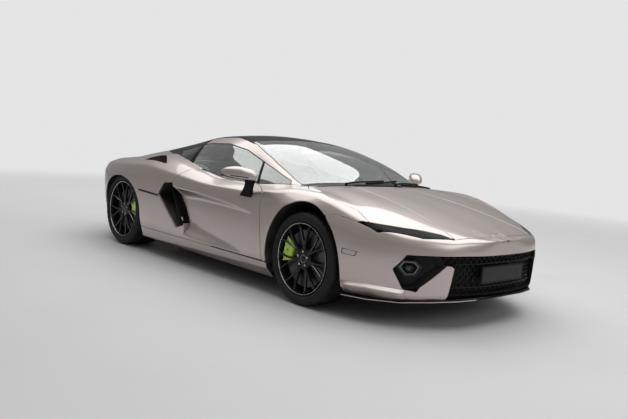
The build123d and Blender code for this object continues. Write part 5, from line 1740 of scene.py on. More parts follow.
class BuildDucts(bpy.types.Operator):
    """Build the side ducts and the deck's vents, and the trim and markers of the flanks"""
    bl_idname = "supercar.ducts"
    bl_label = "Side ducts"

    def execute(self, context):
        hull, _ = body_skins()
        rows = []
        edge = []
        for x, z in sampled(INTAKE_SIDE, 14.0):
            door_side = min(max((x - (float(np.interp(z, (318, 576), (-340, -654))) + 40)) / 70, 0), 1)
            sunk = float(scoop_depth(np.float64(x), np.float64(z))) * door_side
            edge.append(side_at(hull, x, z) - Vector((0, 3 + sunk, 0)))
        middle = sum(edge, Vector()) / len(edge)
        deep = [Vector((p.x + (middle.x - p.x) * 0.06 - 14, 850, p.z + (middle.z - p.z) * 0.05))
                for p in edge]
        rows.append((collar(edge, deep, -4.0), 0))
        rows.append((lofted([deep, [p + Vector((0, -6, 0)) for p in deep]]), 0))
        screen = [p + Vector((0, 9, 0)) for p in deep]
        outline = tuple((p.x, p.z) for p in screen)
        low, high = ([end(values) for values in zip(*outline)] for end in (min, max))

        def inside(x, z):
            return from_outline(np.array([x]), np.array([z]), outline)[0] < -3

        rows.append((hex_mesh(inside, lambda x, z: Vector((x, 862, z)), low, high, 34.0, 4.0, 8.0), 1))
        vane = []
        for x, z in ((-500, 660), (-426, 525), (-352, 390)):
            outer = side_at(hull, x, z).y
            vane.append([(x, outer - 46, z), (x - 5, outer - 46, z - 2), (x - 34, 872, z - 6),
                         (x - 26, 872, z - 4)])
        rows.append((lofted(vane), 0))
        rows.append((inlaid(hull, (-646, 566), (-1000, 580), 9, 9), 0))
        rim = [top_at(hull, x, y) + Vector((0, -2, -3)) for x, y in sampled(VENT_PLAN, 14.0)]
        low_rim = [p + Vector((0, -10, -40)) for p in rim]
        rows.append((collar(rim, low_rim, -3.0), 0))
        rows.append((lofted([low_rim, [p + Vector((0, 0, -5)) for p in low_rim]]), 0))
        for x0, y0, x1, y1 in ((-950, 752, -950, 872), (-1040, 778, -1040, 866), (-860, 800, -860, 880)):
            ends = top_at(hull, x0, y0), top_at(hull, x1, y1)
            rows.append((bar_on(ends[0] + Vector((0, 0, -12)), ends[1] + Vector((0, 0, -12)), 5, 24), 0))
        piece("side_ducts", with_mirror(rows), [liner_black(), mesh_black()], "body", ["side_ducts"],
              "matte_black", bevel=0.8, segments=1)
        lip = []
        for x, z in sampled(FENDER_LIP, 18.0, closed=False):
            out = side_at(hull, x, z).y
            lip.append([(x, out + 1.2, z), (x + 3, out - 2, z + 3), (x + 4, out - 18, z + 4),
                        (x - 3, out - 20, z - 3), (x - 4, out - 3, z - 4)])
        rows = [(lofted(lip), 0)]
        step = []
        for z in (372, 350, 325, 300, 280, 262, 250):
            x = float(np.interp(z, (246, 368), (-211, -213)))
            out = side_at(hull, x, z).y
            sunk = float(scoop_depth(np.float64(x), np.float64(z)))
            step.append([(x, out - 0.6, z), (x, out - sunk - 12, z), (x - 5, out - sunk - 12, z),
                         (x - 5, out - 0.6, z)])
        rows.append((lofted(step), 0))
        marker = []
        for grow, rise in ((1.0, -3), (1.0, 2.2), (0.95, 2.6), (0.92, 1.2), (0.92, -3)):
            marker.append([scaled_on(hull, x, z, grow, rise) for x, z in MARKER_SIDE])
        rows.append((lofted(marker), 1))
        lens = [[scaled_on(hull, x, z, grow, rise) for x, z in MARKER_SIDE]
                for grow, rise in ((0.84, -3), (0.84, 0.9), (0.78, 1.5))]
        rows.append((lofted(lens), 2))
        piece("side_trim", with_mirror(rows), [body_paint(), gloss_black(), body_paint()], "body", (),
              "body_paint", bevel=0.6, segments=1)
        return {"FINISHED"}


def for_side(rows, sign):
    """Turn rows made for the left side round for the right one."""
    return rows if sign > 0 else [(flipped(shape), number) for shape, number in rows]


def placed(rows, x, y, z):
    return [(moved(shape, x, y, z), number) for shape, number in rows]


def scaled_on(hull, x, z, grow, rise):
    """Point of the marker's outline drawn about its middle, on the flank."""
    x, z = 1704 + (x - 1704) * grow, 458 + (z - 458) * (1 - (1 - grow) * 2.6)
    return side_at(hull, x, z) + Vector((0, rise, 0))


INLAY_PROUD, INLAY_STEPS = 0.9, 16


def inlaid(skin, start, end, wide, wide_end):
    """Strip let into the left side of a skin, from x, z to x, z, a little proud of it."""
    rings = []
    for k in range(INLAY_STEPS + 1):
        t = k / INLAY_STEPS
        x, z = start[0] + (end[0] - start[0]) * t, start[1] + (end[1] - start[1]) * t
        half = wide + (wide_end - wide) * t
        way = Vector((end[0] - start[0], end[1] - start[1])).normalized()
        ring = []
        for across, stand in ((-1, -4), (-0.96, INLAY_PROUD), (-0.4, INLAY_PROUD), (0.4, INLAY_PROUD),
                              (0.96, INLAY_PROUD), (1, -4)):
            at = side_at(skin, x - way.y * half * across, z + way.x * half * across)
            ring.append(at + Vector((0, stand, 0)))
        rings.append(ring)
    return lofted(rings)


def bar_on(start, end, wide, high):
    """Upright bar from point to point."""
    way = (end - start).normalized()
    aside = way.cross(Vector((0, 0, 1))).normalized() * wide / 2
    rings = [[p - aside, p + aside, p + aside - Vector((0, 0, high)), p - aside - Vector((0, 0, high))]
             for p in (start, end)]
    return lofted(rings)


# ---- wheels, brakes and liners -----------------------------------------------------------------
TREAD_STEPS, TREAD_PITCH, GROOVE_DEPTH, SIPE_DEPTH = 240, 6, 6.0, 4.5


def tyre_shape(radius, width, rim):
    """Tyre about its own middle, with ribbed sides, grooves and slanted blocks."""
    half = width / 2
    side = [(rim - 3, half - 22), (rim + 3, half - 15), (rim + 10, half - 8), (rim + 17, half - 5),
            (rim + 20, half - 1.2), (rim + 24, half - 0.8), (rim + 27, half - 3.2),
            (rim + 36, half - 1.8), (rim + 39, half - 0.4), (rim + 42, half - 1.8),
            (radius - 27, half - 4.5), (radius - 24, half - 3.2), (radius - 21, half - 6),
            (radius - 12, half - 12), (radius - 6, half - 20), (radius - 2.2, half - 32)]
    tread = half - 44
    count = 2 * int(tread / 7)
    middle = [(radius - 1.2 * (o / tread) ** 2, o) for o in
              [tread - 2 * tread * k / count for k in range(count + 1)]]
    profile = side + middle + [(r, -o) for r, o in reversed(side)]
    grooves = [tread * share for share in (-0.62, -0.22, 0.22, 0.62)]
    vertices, faces = [], []
    for step in range(TREAD_STEPS):
        angle = 2 * math.pi * step / TREAD_STEPS
        for r, o in profile:
            if abs(o) < half - 14 and r > radius - 10:
                slant = int(abs(o) / 16)
                if min(abs(o - groove) for groove in grooves) < 4.5 and abs(o) < half - 40:
                    r -= GROOVE_DEPTH
                elif (step + slant) % TREAD_PITCH == 0 and abs(o) > 14:
                    r -= SIPE_DEPTH
            vertices.append((r * math.cos(angle), o, r * math.sin(angle)))
    count = len(profile)
    for step in range(TREAD_STEPS):
        near, far = step * count, (step + 1) % TREAD_STEPS * count
        faces += [(near + i, near + i + 1, far + i + 1, far + i) for i in range(count - 1)]
        faces.append((near + count - 1, near, far, far + count - 1))
    return outward_faces(vertices, faces)


def spoke(turn, tip_turn, inner, outer, face, side):
    """One arm of a V, from the hub to the lip, with a chamfer on both edges and a bright line on one."""
    rings, accent = [], []
    for k in range(9):
        t = k / 8
        r = inner + (outer - inner) * t
        angle = turn + side * (math.radians(3.0) + (tip_turn - math.radians(3.0)) * t ** 1.15)
        top = face - 16 * (1 - t) ** 2 - 2.5 * math.sin(math.pi * t)
        wide = 9.5 - 3.6 * t + 2.8 * max(0, t - 0.82) / 0.18
        deep = 25 - 5 * t

        def at(across, o, r=r, angle=angle):
            return (r * math.cos(angle) - across * math.sin(angle), o,
                    r * math.sin(angle) + across * math.cos(angle))

        rings.append([at(wide, top - 4.5), at(wide * 0.55, top), at(-wide * 0.55, top), at(-wide, top - 4.5),
                      at(-wide * 0.75, top - deep), at(wide * 0.75, top - deep)])
        if 1 <= k <= 7:
            edge = -side * wide
            accent.append([at(edge * 0.60, top + 0.5), at(edge * 0.95, top - 3.4), at(edge * 1.03, top - 4.4),
                           at(edge * 0.9, top - 5.2), at(edge * 0.5, top - 1.0)])
    return lofted(rings), lofted(accent)


def rim_rows(radius, width, face):
    """Rim about its own middle: barrel, seven V spokes, hub, bolts and cap."""
    h = width / 2 - 14
    barrel = ((radius, h), (radius - 2, h + 4), (radius - 6, h + 5.5),
              (radius - 9, h + 3), (radius - 13, h - 6), (radius - 17, h - 30), (radius - 24, h - 72),
              (radius - 24, -h + 30), (radius - 12, -h + 8), (radius - 6, -h), (radius, -h),
              (radius, -h + 14), (radius - 14, -h + 24), (radius - 15, h - 66), (radius - 8, h - 24),
              (radius - 2, h - 10))
    lip = ((radius - 5.4, h + 5.2), (radius - 5.6, h + 6.3), (radius - 8.4, h + 5.3), (radius - 9.4, h + 2.8))
    rows = [(turned(barrel, (0, 0, 0), 96), 0), (turned(lip, (0, 0, 0), 96), 1)]
    for pair in range(7):
        turn = 2 * math.pi * pair / 7 + math.pi / 2
        for side in (-1, 1):
            arm, accent = spoke(turn, math.radians(13.5), 58, radius - 12, face, side)
            rows += [(arm, 0), (accent, 3)]
        web = []
        for r, spread, o in ((60, 0.045, -14), (96, 0.052, -11), (112, 0.022, -12)):
            web.append([(r * math.cos(turn + a), face + o + d, r * math.sin(turn + a))
                        for a, d in ((spread, 0), (-spread, 0), (-spread, -14), (spread, -14))])
        rows.append((lofted(web), 0))
    hub = ((0.5, face - 30), (0.5, face - 21), (26, face - 21), (29, face - 24), (33, face - 24),
           (36, face - 17), (66, face - 17), (73, face - 20), (78, face - 28), (78, face - 46),
           (0.5, face - 46))
    rows.append((turned(hub, (0, 0, 0), 64), 0))
    cap = ((0.4, face - 22), (0.4, face - 14.5), (17, face - 15), (23, face - 16.5), (25.5, face - 19),
           (25.5, face - 22))
    rows.append((turned(cap, (0, 0, 0), 48), 0))
    ring = ((25.6, face - 20.5), (26.5, face - 17.2), (28.6, face - 17.2), (29.2, face - 21))
    rows.append((turned(ring, (0, 0, 0), 48), 1))
    for bolt in range(5):
        angle = 2 * math.pi * bolt / 5 + math.pi / 2
        x, z = 51 * math.cos(angle), 51 * math.sin(angle)
        seat = ((9.4, face - 17.4), (9.8, face - 15.6), (12.6, face - 15.6), (13.2, face - 17.4))
        rows.append((turned(seat, (x, 0, z), 24), 0))
        rows.append((rod((x, face - 19, z), (x, face - 9.5, z), 8.2, 6, 7.8), 2))
        rows.append((rod((x, face - 9.6, z), (x, face - 8.2, z), 6.4, 12, 5.2), 2))
    valve = (radius - 30) * math.cos(0.35), (radius - 30) * math.sin(0.35)
    rows.append((rod((valve[0], h - 60, valve[1]), (valve[0] * 0.96, h - 38, valve[1] * 0.96), 4, 8), 2))
    return rows


class BuildTyres(bpy.types.Operator):
    """Build the four tyres with their tread and ribbed side walls"""
    bl_idname = "supercar.tyres"
    bl_label = "Tyres"

    def execute(self, context):
        for end, (x, track, radius, width, rim, _, _, _, _) in AXLES.items():
            shape = tyre_shape(radius, width, rim)
            for name, sign in SIDES:
                label, centre = "%s_%s" % (end, name), (x, sign * track / 2, radius)
                piece("tyre_" + label, placed(for_side([(shape, 0)], sign), *centre), [rubber()],
                      "wheel_" + label, ["tyre_" + label], "tyre_rubber", origin=centre, angle=38)
        return {"FINISHED"}


class BuildRims(bpy.types.Operator):
    """Build the four rims: barrels, V spokes with bright lines, hubs and bolts"""
    bl_idname = "supercar.rims"
    bl_label = "Rims"

    def execute(self, context):
        edge = finish("SpokeEdge", (0.16, 0.158, 0.155), 0.26, metallic=0.9, film=0.02)
        materials = [rim_paint(), machined(), bolt_metal(), edge]
        for end, (x, track, radius, width, rim, _, _, back, _) in AXLES.items():
            face = back + 22
            for name, sign in SIDES:
                label, centre = "%s_%s" % (end, name), (x, sign * track / 2, radius)
                rows = for_side(rim_rows(rim, width, face), sign)
                piece("rim_" + label, placed(rows, *centre), materials, "wheel_" + label,
                      ["rim_" + label], "rim_black", bevel=0.9, segments=1, origin=centre, angle=32)
        return {"FINISHED"}


def disc_rows(radius, inner_face):
    """Vented, drilled disc about the wheel's middle, with its bell."""
    rows = []
    for low in (inner_face, inner_face + 23):
        rows.append((turned(((104, low + 1), (106, low), (radius - 1.5, low), (radius, low + 1.5),
                             (radius, low + 9.5), (radius - 1.5, low + 11), (106, low + 11),
                             (104, low + 10)), (0, 0, 0), 72), 0))
    for angle in circle(48):
        ends = [((r * math.cos(angle + skew)), inner_face + 17, r * math.sin(angle + skew))
                for r, skew in ((108, 0.0), (radius - 3, 0.16))]
        rows.append((bar_flat(ends[0], ends[1], 3.0, 12.5), 0))
    for arm in range(12):
        for k, r in enumerate((122, 141, 160, 179, 194)):
            if r > radius - 9:
                continue
            angle = 2 * math.pi * arm / 12 + 0.095 * k
            x, z = r * math.cos(angle), r * math.sin(angle)
            for low, high in ((inner_face - 0.35, inner_face + 4), (inner_face + 30, inner_face + 34.35)):
                rows.append((rod((x, low, z), (x, high, z), 3.4, 8), 1))
    bell = ((30, inner_face + 35), (84, inner_face + 35), (98, inner_face + 31), (101, inner_face + 24),
            (110, inner_face + 24), (110, inner_face + 18), (97, inner_face + 18), (94, inner_face + 26),
            (82, inner_face + 30), (30, inner_face + 30))
    rows.append((turned(bell, (0, 0, 0), 64), 2))
    for angle in circle(10):
        x, z = 106 * math.cos(angle), 106 * math.sin(angle)
        rows.append((rod((x, inner_face + 16, z), (x, inner_face + 37, z), 5, 8), 0))
    return rows


def bar_flat(start, end, wide, deep):
    """Bar whose deep side points along Y."""
    start, end = Vector(start), Vector(end)
    aside = (end - start).cross(Vector((0, 1, 0))).normalized() * wide / 2
    out = Vector((0, deep / 2, 0))
    return lofted([[p - aside - out, p + aside - out, p + aside + out, p - aside + out]
                   for p in (start, end)])


def caliper_rows(radius, inner_face, angle, spread, pistons):
    """Caliper over the disc's rim, about the wheel's middle."""
    middle = inner_face + 17
    outer, inner = radius + 25, radius - 80

    def at(r, o, turn):
        return (r * math.cos(turn), middle + o, r * math.sin(turn))

    def arc(profile, low, high, count=14):
        return lofted([[at(r, o, math.radians(angle) + low + (high - low) * k / count) for r, o in profile]
                       for k in range(count + 1)])

    reach = math.radians(spread)
    rows = []
    for side in (-1, 1):
        cheek = ((outer - 6, side * 22), (outer - 12, side * 43), (outer - 30, side * 46),
                 (inner + 16, side * 46), (inner + 4, side * 38), (inner, side * 22.5))
        rows.append((arc(cheek, -reach, reach), 0))
        for k in range(pistons):
            turn = math.radians(angle) + reach * (-0.66 + 1.32 * k / (pistons - 1))
            r = (outer + inner) / 2 - 4
            rows.append((rod(at(r, side * 44, turn), at(r, side * 49.5, turn), 23, 28, 20), 0))
            rows.append((rod(at(r, side * 49.3, turn), at(r, side * 50.6, turn), 12, 20, 10.5), 1))
    bridge = ((outer, -22), (outer, 22), (outer - 7, 24), (outer - 13, 22), (outer - 13, -22),
              (outer - 7, -24))
    for low, high in ((-1.0, -0.62), (-0.16, 0.16), (0.62, 1.0)):
        rows.append((arc(bridge, reach * low, reach * high, 5), 0))
    for low, high in ((-0.60, -0.18), (0.18, 0.60)):
        for side in (-1, 1):
            pad = ((outer - 16, side * 18.4), (outer - 16, side * 21.6), (inner + 14, side * 21.6),
                   (inner + 14, side * 18.4))
            rows.append((arc(pad, reach * low, reach * high, 5), 1))
    for turn in (-0.94, -0.40, 0.40, 0.94):
        t = math.radians(angle) + reach * turn
        rows.append((rod(at(outer - 19, -48, t), at(outer - 19, 48.5, t), 6.5, 6), 2))
    for turn in (-0.9, 0.9):
        t = math.radians(angle) + reach * turn
        rows.append((rod(at(outer - 3, 30, t), at(outer + 1.5, 30, t), 4, 8), 2))
    pipe = [at(outer - 10, -34, math.radians(angle) + reach * s) for s in (-0.85, -0.4, 0.0, 0.4, 0.85)]
    rows.append((tube(pipe, 2.6, 8), 2))
    return rows


class BuildBrakes(bpy.types.Operator):
    """Build the drilled discs and the calipers"""
    bl_idname = "supercar.brakes"
    bl_label = "Brakes"

    def execute(self, context):
        iron, black = brushed("DiscIron", (0.10, 0.098, 0.096), 0.36), satin_black()
        green, pad, steel = caliper_paint(), cast_metal(), bolt_metal()
        rear = []
        for end, (x, track, wheel, _, _, radius, face, _, angle) in AXLES.items():
            for name, sign in SIDES:
                centre = (x, sign * track / 2, wheel)
                rows = placed(for_side(disc_rows(radius, face), sign), *centre)
                label = "%s_%s" % (end, name)
                piece("disc_" + label, rows, [iron, black, black], "wheel_" + label, ["disc_" + label],
                      "disc_iron", bevel=0.5, segments=1, origin=centre)
                rows = caliper_rows(radius, face, angle, 25 if end == "front" else 21,
                                    3 if end == "front" else 2)
                rows = placed(for_side(rows, sign), *centre)
                if end == "front":
                    piece("caliper_" + name, rows, [green, pad, steel], "knuckle_" + name,
                          ["caliper_" + name], "caliper_green", bevel=1.6)
                else:
                    rear += rows
        piece("calipers_rear", rear, [green, pad, steel], "body", ["calipers_rear"], "caliper_green",
              bevel=1.6)
        return {"FINISHED"}


def bolt_metal():
    return finish("BoltSteel", (0.55, 0.55, 0.56), 0.28, metallic=1.0, grain=(1800.0, 0.00004), wear=0.2)


class BuildLiners(bpy.types.Operator):
    """Build the wheel arch liners and the flat under tray"""
    bl_idname = "supercar.liners"
    bl_label = "Liners and tray"

    def execute(self, context):
        hull, _ = body_skins()
        rows = []
        for (axle_x, half, top, rise), inner, outer, lift in ((ARCHES[0], 500, 958, 14),
                                                              (ARCHES[1], 596, 972, 44)):
            rings = []
            for k in range(41):
                angle = math.radians(-14 + 208 * k / 40)
                a, b = half + 14, top - rise + lift
                x, z = a * math.cos(angle), b * math.sin(angle)
                ripple = 1.0 + (0.006 if k % 4 == 0 else 0.0)
                near = min(outer, side_at(hull, axle_x + x * 1.012, max(rise + z * 1.012, 250)).y - 16)
                pairs = ((near, 1.0), (inner, ripple), (inner, 0.28), (inner - 4, 0.28), (inner - 4, 1.02),
                         (near, 1.012))
                rings.append([(axle_x + x * grow, y, rise + z * grow) for y, grow in pairs])
            rows.append((lofted(rings), 0))
        rows = with_mirror(rows)
        tray = ((1560, 480), (900, 480), (870, 830), (-930, 830), (-950, 520), (-1760, 420))
        rows.append((lofted([[(x, -half, 121), (x, half, 121), (x, half, 127), (x, -half, 127)]
                             for x, half in tray]), 1))
        for x in range(-700, 900, 200):
            for y in (-700, 700):
                rows.append((rod((x, y, 119.2), (x, y, 124), 9, 12), 1))
        for y in (-300, 300):
            duct = [(700, y - 60), (700, y + 60), (560, y + 44), (560, y - 44)]
            rows.append((prism(duct, "z", 118.6, 121.5), 1))
        piece("liners", rows, [liner_black(), satin_black()], "body", (), "matte_black", bevel=0.8,
              segments=1)
        return {"FINISHED"}


# ---- the rear ----------------------------------------------------------------------------------
EXHAUST_Z = 595
TAIL_MESH_HALF = ((0, 715), (550, 707), (600, 650), (552, 564), (466, 476), (0, 476))
TAIL_ARMS = ((560, 640, 396, 640), (560, 640, 596, 684), (560, 640, 592, 598), (440, 640, 396, 684),
             (440, 640, 400, 598))


class BuildTail(bpy.types.Operator):
    """Build the tail's mesh panel, its walls, the lamps and the blank plate"""
    bl_idname = "supercar.tail"
    bl_label = "Tail"

    def execute(self, context):
        hull, _ = body_skins()
        outline = both_halves(TAIL_MESH_HALF)
        edge = [tail_at(hull, a, b) + Vector((3, 0, 0)) for a, b in sampled(outline, 14.0)]
        deep = [Vector((-2232, p.y * 0.985, EXHAUST_Z + (p.z - EXHAUST_Z) * 0.97)) for p in edge]
        rows = [(collar(edge, deep, 3.0), 0)]

        def inside(y, z):
            return from_outline(np.array([abs(y)]), np.array([z]), TAIL_MESH_HALF)[0] < -5

        mesh = hex_mesh(inside, lambda y, z: Vector((-2246, y, z)), (-600, 470), (600, 715), 30.0, 4.5, -12.0)
        rows.append((mesh, 1))
        rows.append((prism(sampled(outline, 30.0), "x", -2214, -2206), 0))
        for y in (-200, 200):
            rows.append((box(-2240, -2214, y - 4, y + 4, 480, 712), 0))
        piece("tail_grille", rows, [satin_black(), mesh_black()], "body", ["tail_grille"],
              "matte_black", bevel=0.8, segments=1)
        lamp_rows = []
        for y0, z0, y1, z1 in TAIL_ARMS:
            for half, rear, front, number in ((11, -2276, -2254, 0), (15, -2256, -2244, 1)):
                lamp_rows.append((prism(thick_line((y0, z0), (y1, z1), half), "x", rear, front), number))
        lamp_rows.append((prism(TAIL_LAMP_REAR, "x", -2244, -2238), 1))
        piece("tail_lamps", with_mirror(lamp_rows), [red_lens(), gloss_black()], "body", ["tail_lamps"],
              "red_lens", bevel=1.5)
        infill = [(-478, 446), (478, 446), (512, 330), (470, 306), (-470, 306), (-512, 330)]
        plate = blank_plate(-2266, 380, 260, 52)
        plate.append((prism(infill, "x", -2240, -2228), 1))
        for z in (322, 444):
            plate.append((box(-2252, -2238, -470, 470, z - 4, z + 4), 1))
        for y in (-400, -330, 330, 400):
            plate.append((box(-2250, -2238, y - 4, y + 4, 322, 444), 1))
        piece("rear_plate", plate, [gloss_black(), satin_black()], "body", (), "gloss_black", bevel=1.2)
        return {"FINISHED"}


def thick_line(start, end, half):
    """Outline of a bar with pointed ends from one pair to another."""
    way = Vector((end[0] - start[0], end[1] - start[1])).normalized()
    side = Vector((-way.y, way.x)) * half
    a, b = Vector(start), Vector(end)
    return [tuple(p) for p in (a - side, a - way * half * 0.8, a + side, b + side, b + way * half * 0.8,
                               b - side)]


class BuildDiffuser(bpy.types.Operator):
    """Build the diffuser, its fins and the exhaust pipes"""
    bl_idname = "supercar.diffuser"
    bl_label = "Diffuser and exhaust"

    def execute(self, context):
        rows = []
        floor = [(-1780, 156), (-1900, 158), (-2100, 232), (-2286, 302), (-2290, 313), (-2104, 244),
                 (-1902, 170), (-1780, 168)]
        rows.append((prism(floor, "y", -420, 420), 0))
        fin = [(-1960, 172), (-2120, 236), (-2286, 304), (-2288, 214), (-2268, 190), (-2010, 130),
               (-1985, 134)]
        for y in (-412, -300, -200, -100, 100, 200, 300, 412):
            rows.append((prism(fin, "y", y - 3.5, y + 3.5), 0))
        rows.append((box(-2286, -2262, -86, -40, 330, 352), 0))
        rows.append((prism([(-2288, 318), (-2262, 318), (-2256, 332), (-2284, 332)], "y", -420, 420), 1))
        piece("diffuser", rows, [satin_black(), gloss_black()], "body", ["diffuser"], "gloss_black",
              bevel=1.5)
        rows = []
        corners = [(math.cos(math.pi / 3 * k), math.sin(math.pi / 3 * k)) for k in range(6)]
        for y in (-72, 72):
            outer = [[(x, y + c * r * 0.98, EXHAUST_Z + s * r * 0.86) for c, s in corners]
                     for x, r in ((-2060, 48), (-2180, 52), (-2288, 53), (-2297, 51), (-2299, 47),
                                  (-2294, 43), (-2250, 41), (-2110, 40))]
            rows.append((lofted([smooth_ring(o, 5) for o in outer]), 0))
            rows.append((rod((-2105, y, EXHAUST_Z), (-2112, y, EXHAUST_Z), 38, 24), 1))
            for k in range(3):
                x, z = -2140 + 12 * k, EXHAUST_Z - 20 + 20 * k
                rows.append((rod((x, y - 38, z), (x, y + 38, z), 2.2, 6), 0))
        box_rings = []
        for x, h, w in ((-2070, 66, 372), (-2056, 84, 408), (-2040, 90, 420), (-1930, 90, 420),
                        (-1914, 84, 408), (-1902, 66, 372)):
            low, high = EXHAUST_Z - h, EXHAUST_Z + h
            box_rings.append(smooth_ring([(x, -w, low), (x, w, low), (x, w, high), (x, -w, high)], 8))
        rows.append((lofted(box_rings), 0))
        for y in (-300, -150, 0, 150, 300):
            rows.append((tube([(-2040, y, 684), (-1985, y, 687), (-1930, y, 684)], 3, 6), 0))
        piece("exhaust", rows, [exhaust_steel(), satin_black()], "body", ["exhaust"], "exhaust_steel",
              bevel=0.8, segments=1)
        return {"FINISHED"}


def smooth_ring(points, steps):
    """Round off a ring's corners."""
    points = [Vector(p) for p in points]
    count = len(points)
    smooth = []
    for i in range(count):
        before, here, after = points[i - 1], points[i], points[(i + 1) % count]
        a, b = here + (before - here) * 0.3, here + (after - here) * 0.3
        for k in range(steps + 1):
            t = k / steps
            smooth.append(a * (1 - t) ** 2 + here * 2 * t * (1 - t) + b * t * t)
    return smooth


class BuildEngine(bpy.types.Operator):
    """Build the engine, its intake plenums and pipes, and the blades in the lid's slots"""
    bl_idname = "supercar.engine"
    bl_label = "Engine"

    def execute(self, context):
        rows = []

        def slab(x0, x1, y0, y1, z0, z1, cut=14):
            rings = []
            for x, g in ((x0, cut), (x0 + 8, 0), (x1 - 8, 0), (x1, cut)):
                rings.append([(x, y0 + g, z0 + g), (x, y1 - g, z0 + g), (x, y1 - g * 0.2, z1 - g),
                              (x, y0 + g * 0.2, z1 - g)])
            return lofted([smooth_ring(r, 3) for r in rings])

        rows.append((slab(-1340, -640, -190, 190, 225, 470), 0))
        rows.append((slab(-1755, -1345, -150, 150, 215, 440), 0))
        for sign in (-1, 1):
            rows.append((slab(-1290, -700, *sorted((60 * sign, 250 * sign)), 440, 590), 0))
            rows.append((slab(-1270, -720, *sorted((110 * sign, 225 * sign)), 585, 640, 8), 1))
            for k in range(4):
                x = -780 - 140 * k
                rows.append((tube([(x, sign * 130, 560), (x, sign * 100, 640), (x, sign * 50, 690),
                                   (x, sign * 20, 690)], 26, 14), 0))
                rows.append((rod((x, sign * 165, 636), (x, sign * 165, 652), 20, 16, 17), 3))
                rows.append((tube([(x - 40, sign * 245, 500), (x - 40, sign * 290, 470),
                                   (x - 60, sign * 296, 380)], 20, 12), 2))
            rows.append((tube([(-700, sign * 292, 372), (-1260, sign * 292, 372), (-1420, sign * 240, 420),
                               (-1700, sign * 200, 520), (-1755, sign * 160, 560)], 28, 14), 2))
        rows.append((slab(-1280, -720, -60, 60, 640, 716, 10), 1))
        for k in range(9):
            x = -770 - 58 * k
            rows.append((box(x - 3, x + 3, -52, 52, 714, 719), 0))
        for sign in (-1, 1):
            rows.append((rod((-640, sign * 90, 300), (-622, sign * 90, 300), 60, 32), 3))
        rows.append((rod((-640, 0, 380), (-622, 0, 380), 45, 32), 3))
        piece("engine_block", rows, [cast_metal(), engine_cover(), exhaust_steel(), satin_black()], "body",
              ["engine_block"], "engine_metal", bevel=1.5, segments=1)
        _, canopy = body_skins()
        blades = []
        for x in LOUVRES:
            for sign in (-1, 1):
                rings = []
                for k in range(7):
                    y = sign * (LOUVRE_Y + (k - 3) / 3 * (LOUVRE_HALF + 4))
                    front, rear = x + BLADE_FRONT, x - BLADE_REAR
                    z0, z1 = top_at(canopy, front, y).z - 8, top_at(canopy, rear, y).z - 24
                    rings.append([(front, y, z0), (front, y, z0 - 3), (rear, y, z1 - 3), (rear, y, z1)])
                blades.append((lofted(rings), 0))
        piece("engine_lid_louvres", blades, [gloss_black()], "engine_lid", (), "gloss_black",
              bevel=0.8, segments=1)
        return {"FINISHED"}


def engine_cover():
    return finish("EngineCover", (0.20, 0.20, 0.205), 0.4, metallic=0.5, grain=(700.0, 0.0006),
                  film=0.15, wear=0.2)


# ---- the cabin ---------------------------------------------------------------------------------
SEAT_Y = 370


def cushion(outline, axis_low, axis_high, crown, rows_across=9):
    """Padded block: an x, z outline across y, crowned in the middle and pulled in at the sides."""
    rings = []
    middle_x = sum(x for x, _ in outline) / len(outline)
    middle_z = sum(z for _, z in outline) / len(outline)
    for k in range(rows_across + 1):
        t = -1 + 2 * k / rows_across
        swell = 1 + crown * (1 - t * t) - 0.10 * abs(t) ** 6 * 2.2
        y = (axis_low + axis_high) / 2 + t * (axis_high - axis_low) / 2
        rings.append([(middle_x + (x - middle_x) * swell, y, middle_z + (z - middle_z) * swell)
                      for x, z in outline])
    return lofted(rings)


def turned_block(x, z, length, high, lean):
    """Outline of a block about x, z that leans back by an angle."""
    c, s = math.cos(lean), math.sin(lean)
    corners = [(-length / 2, -high / 2), (length / 2, -high / 2), (length / 2, high / 2),
               (-length / 2, high / 2)]
    points = [Vector((a, 0, b)) for a, b in corners]
    rounded = smooth_ring(points, 5)
    return [(x + p.x * c - p.z * s, z + p.x * s + p.z * c) for p in rounded]


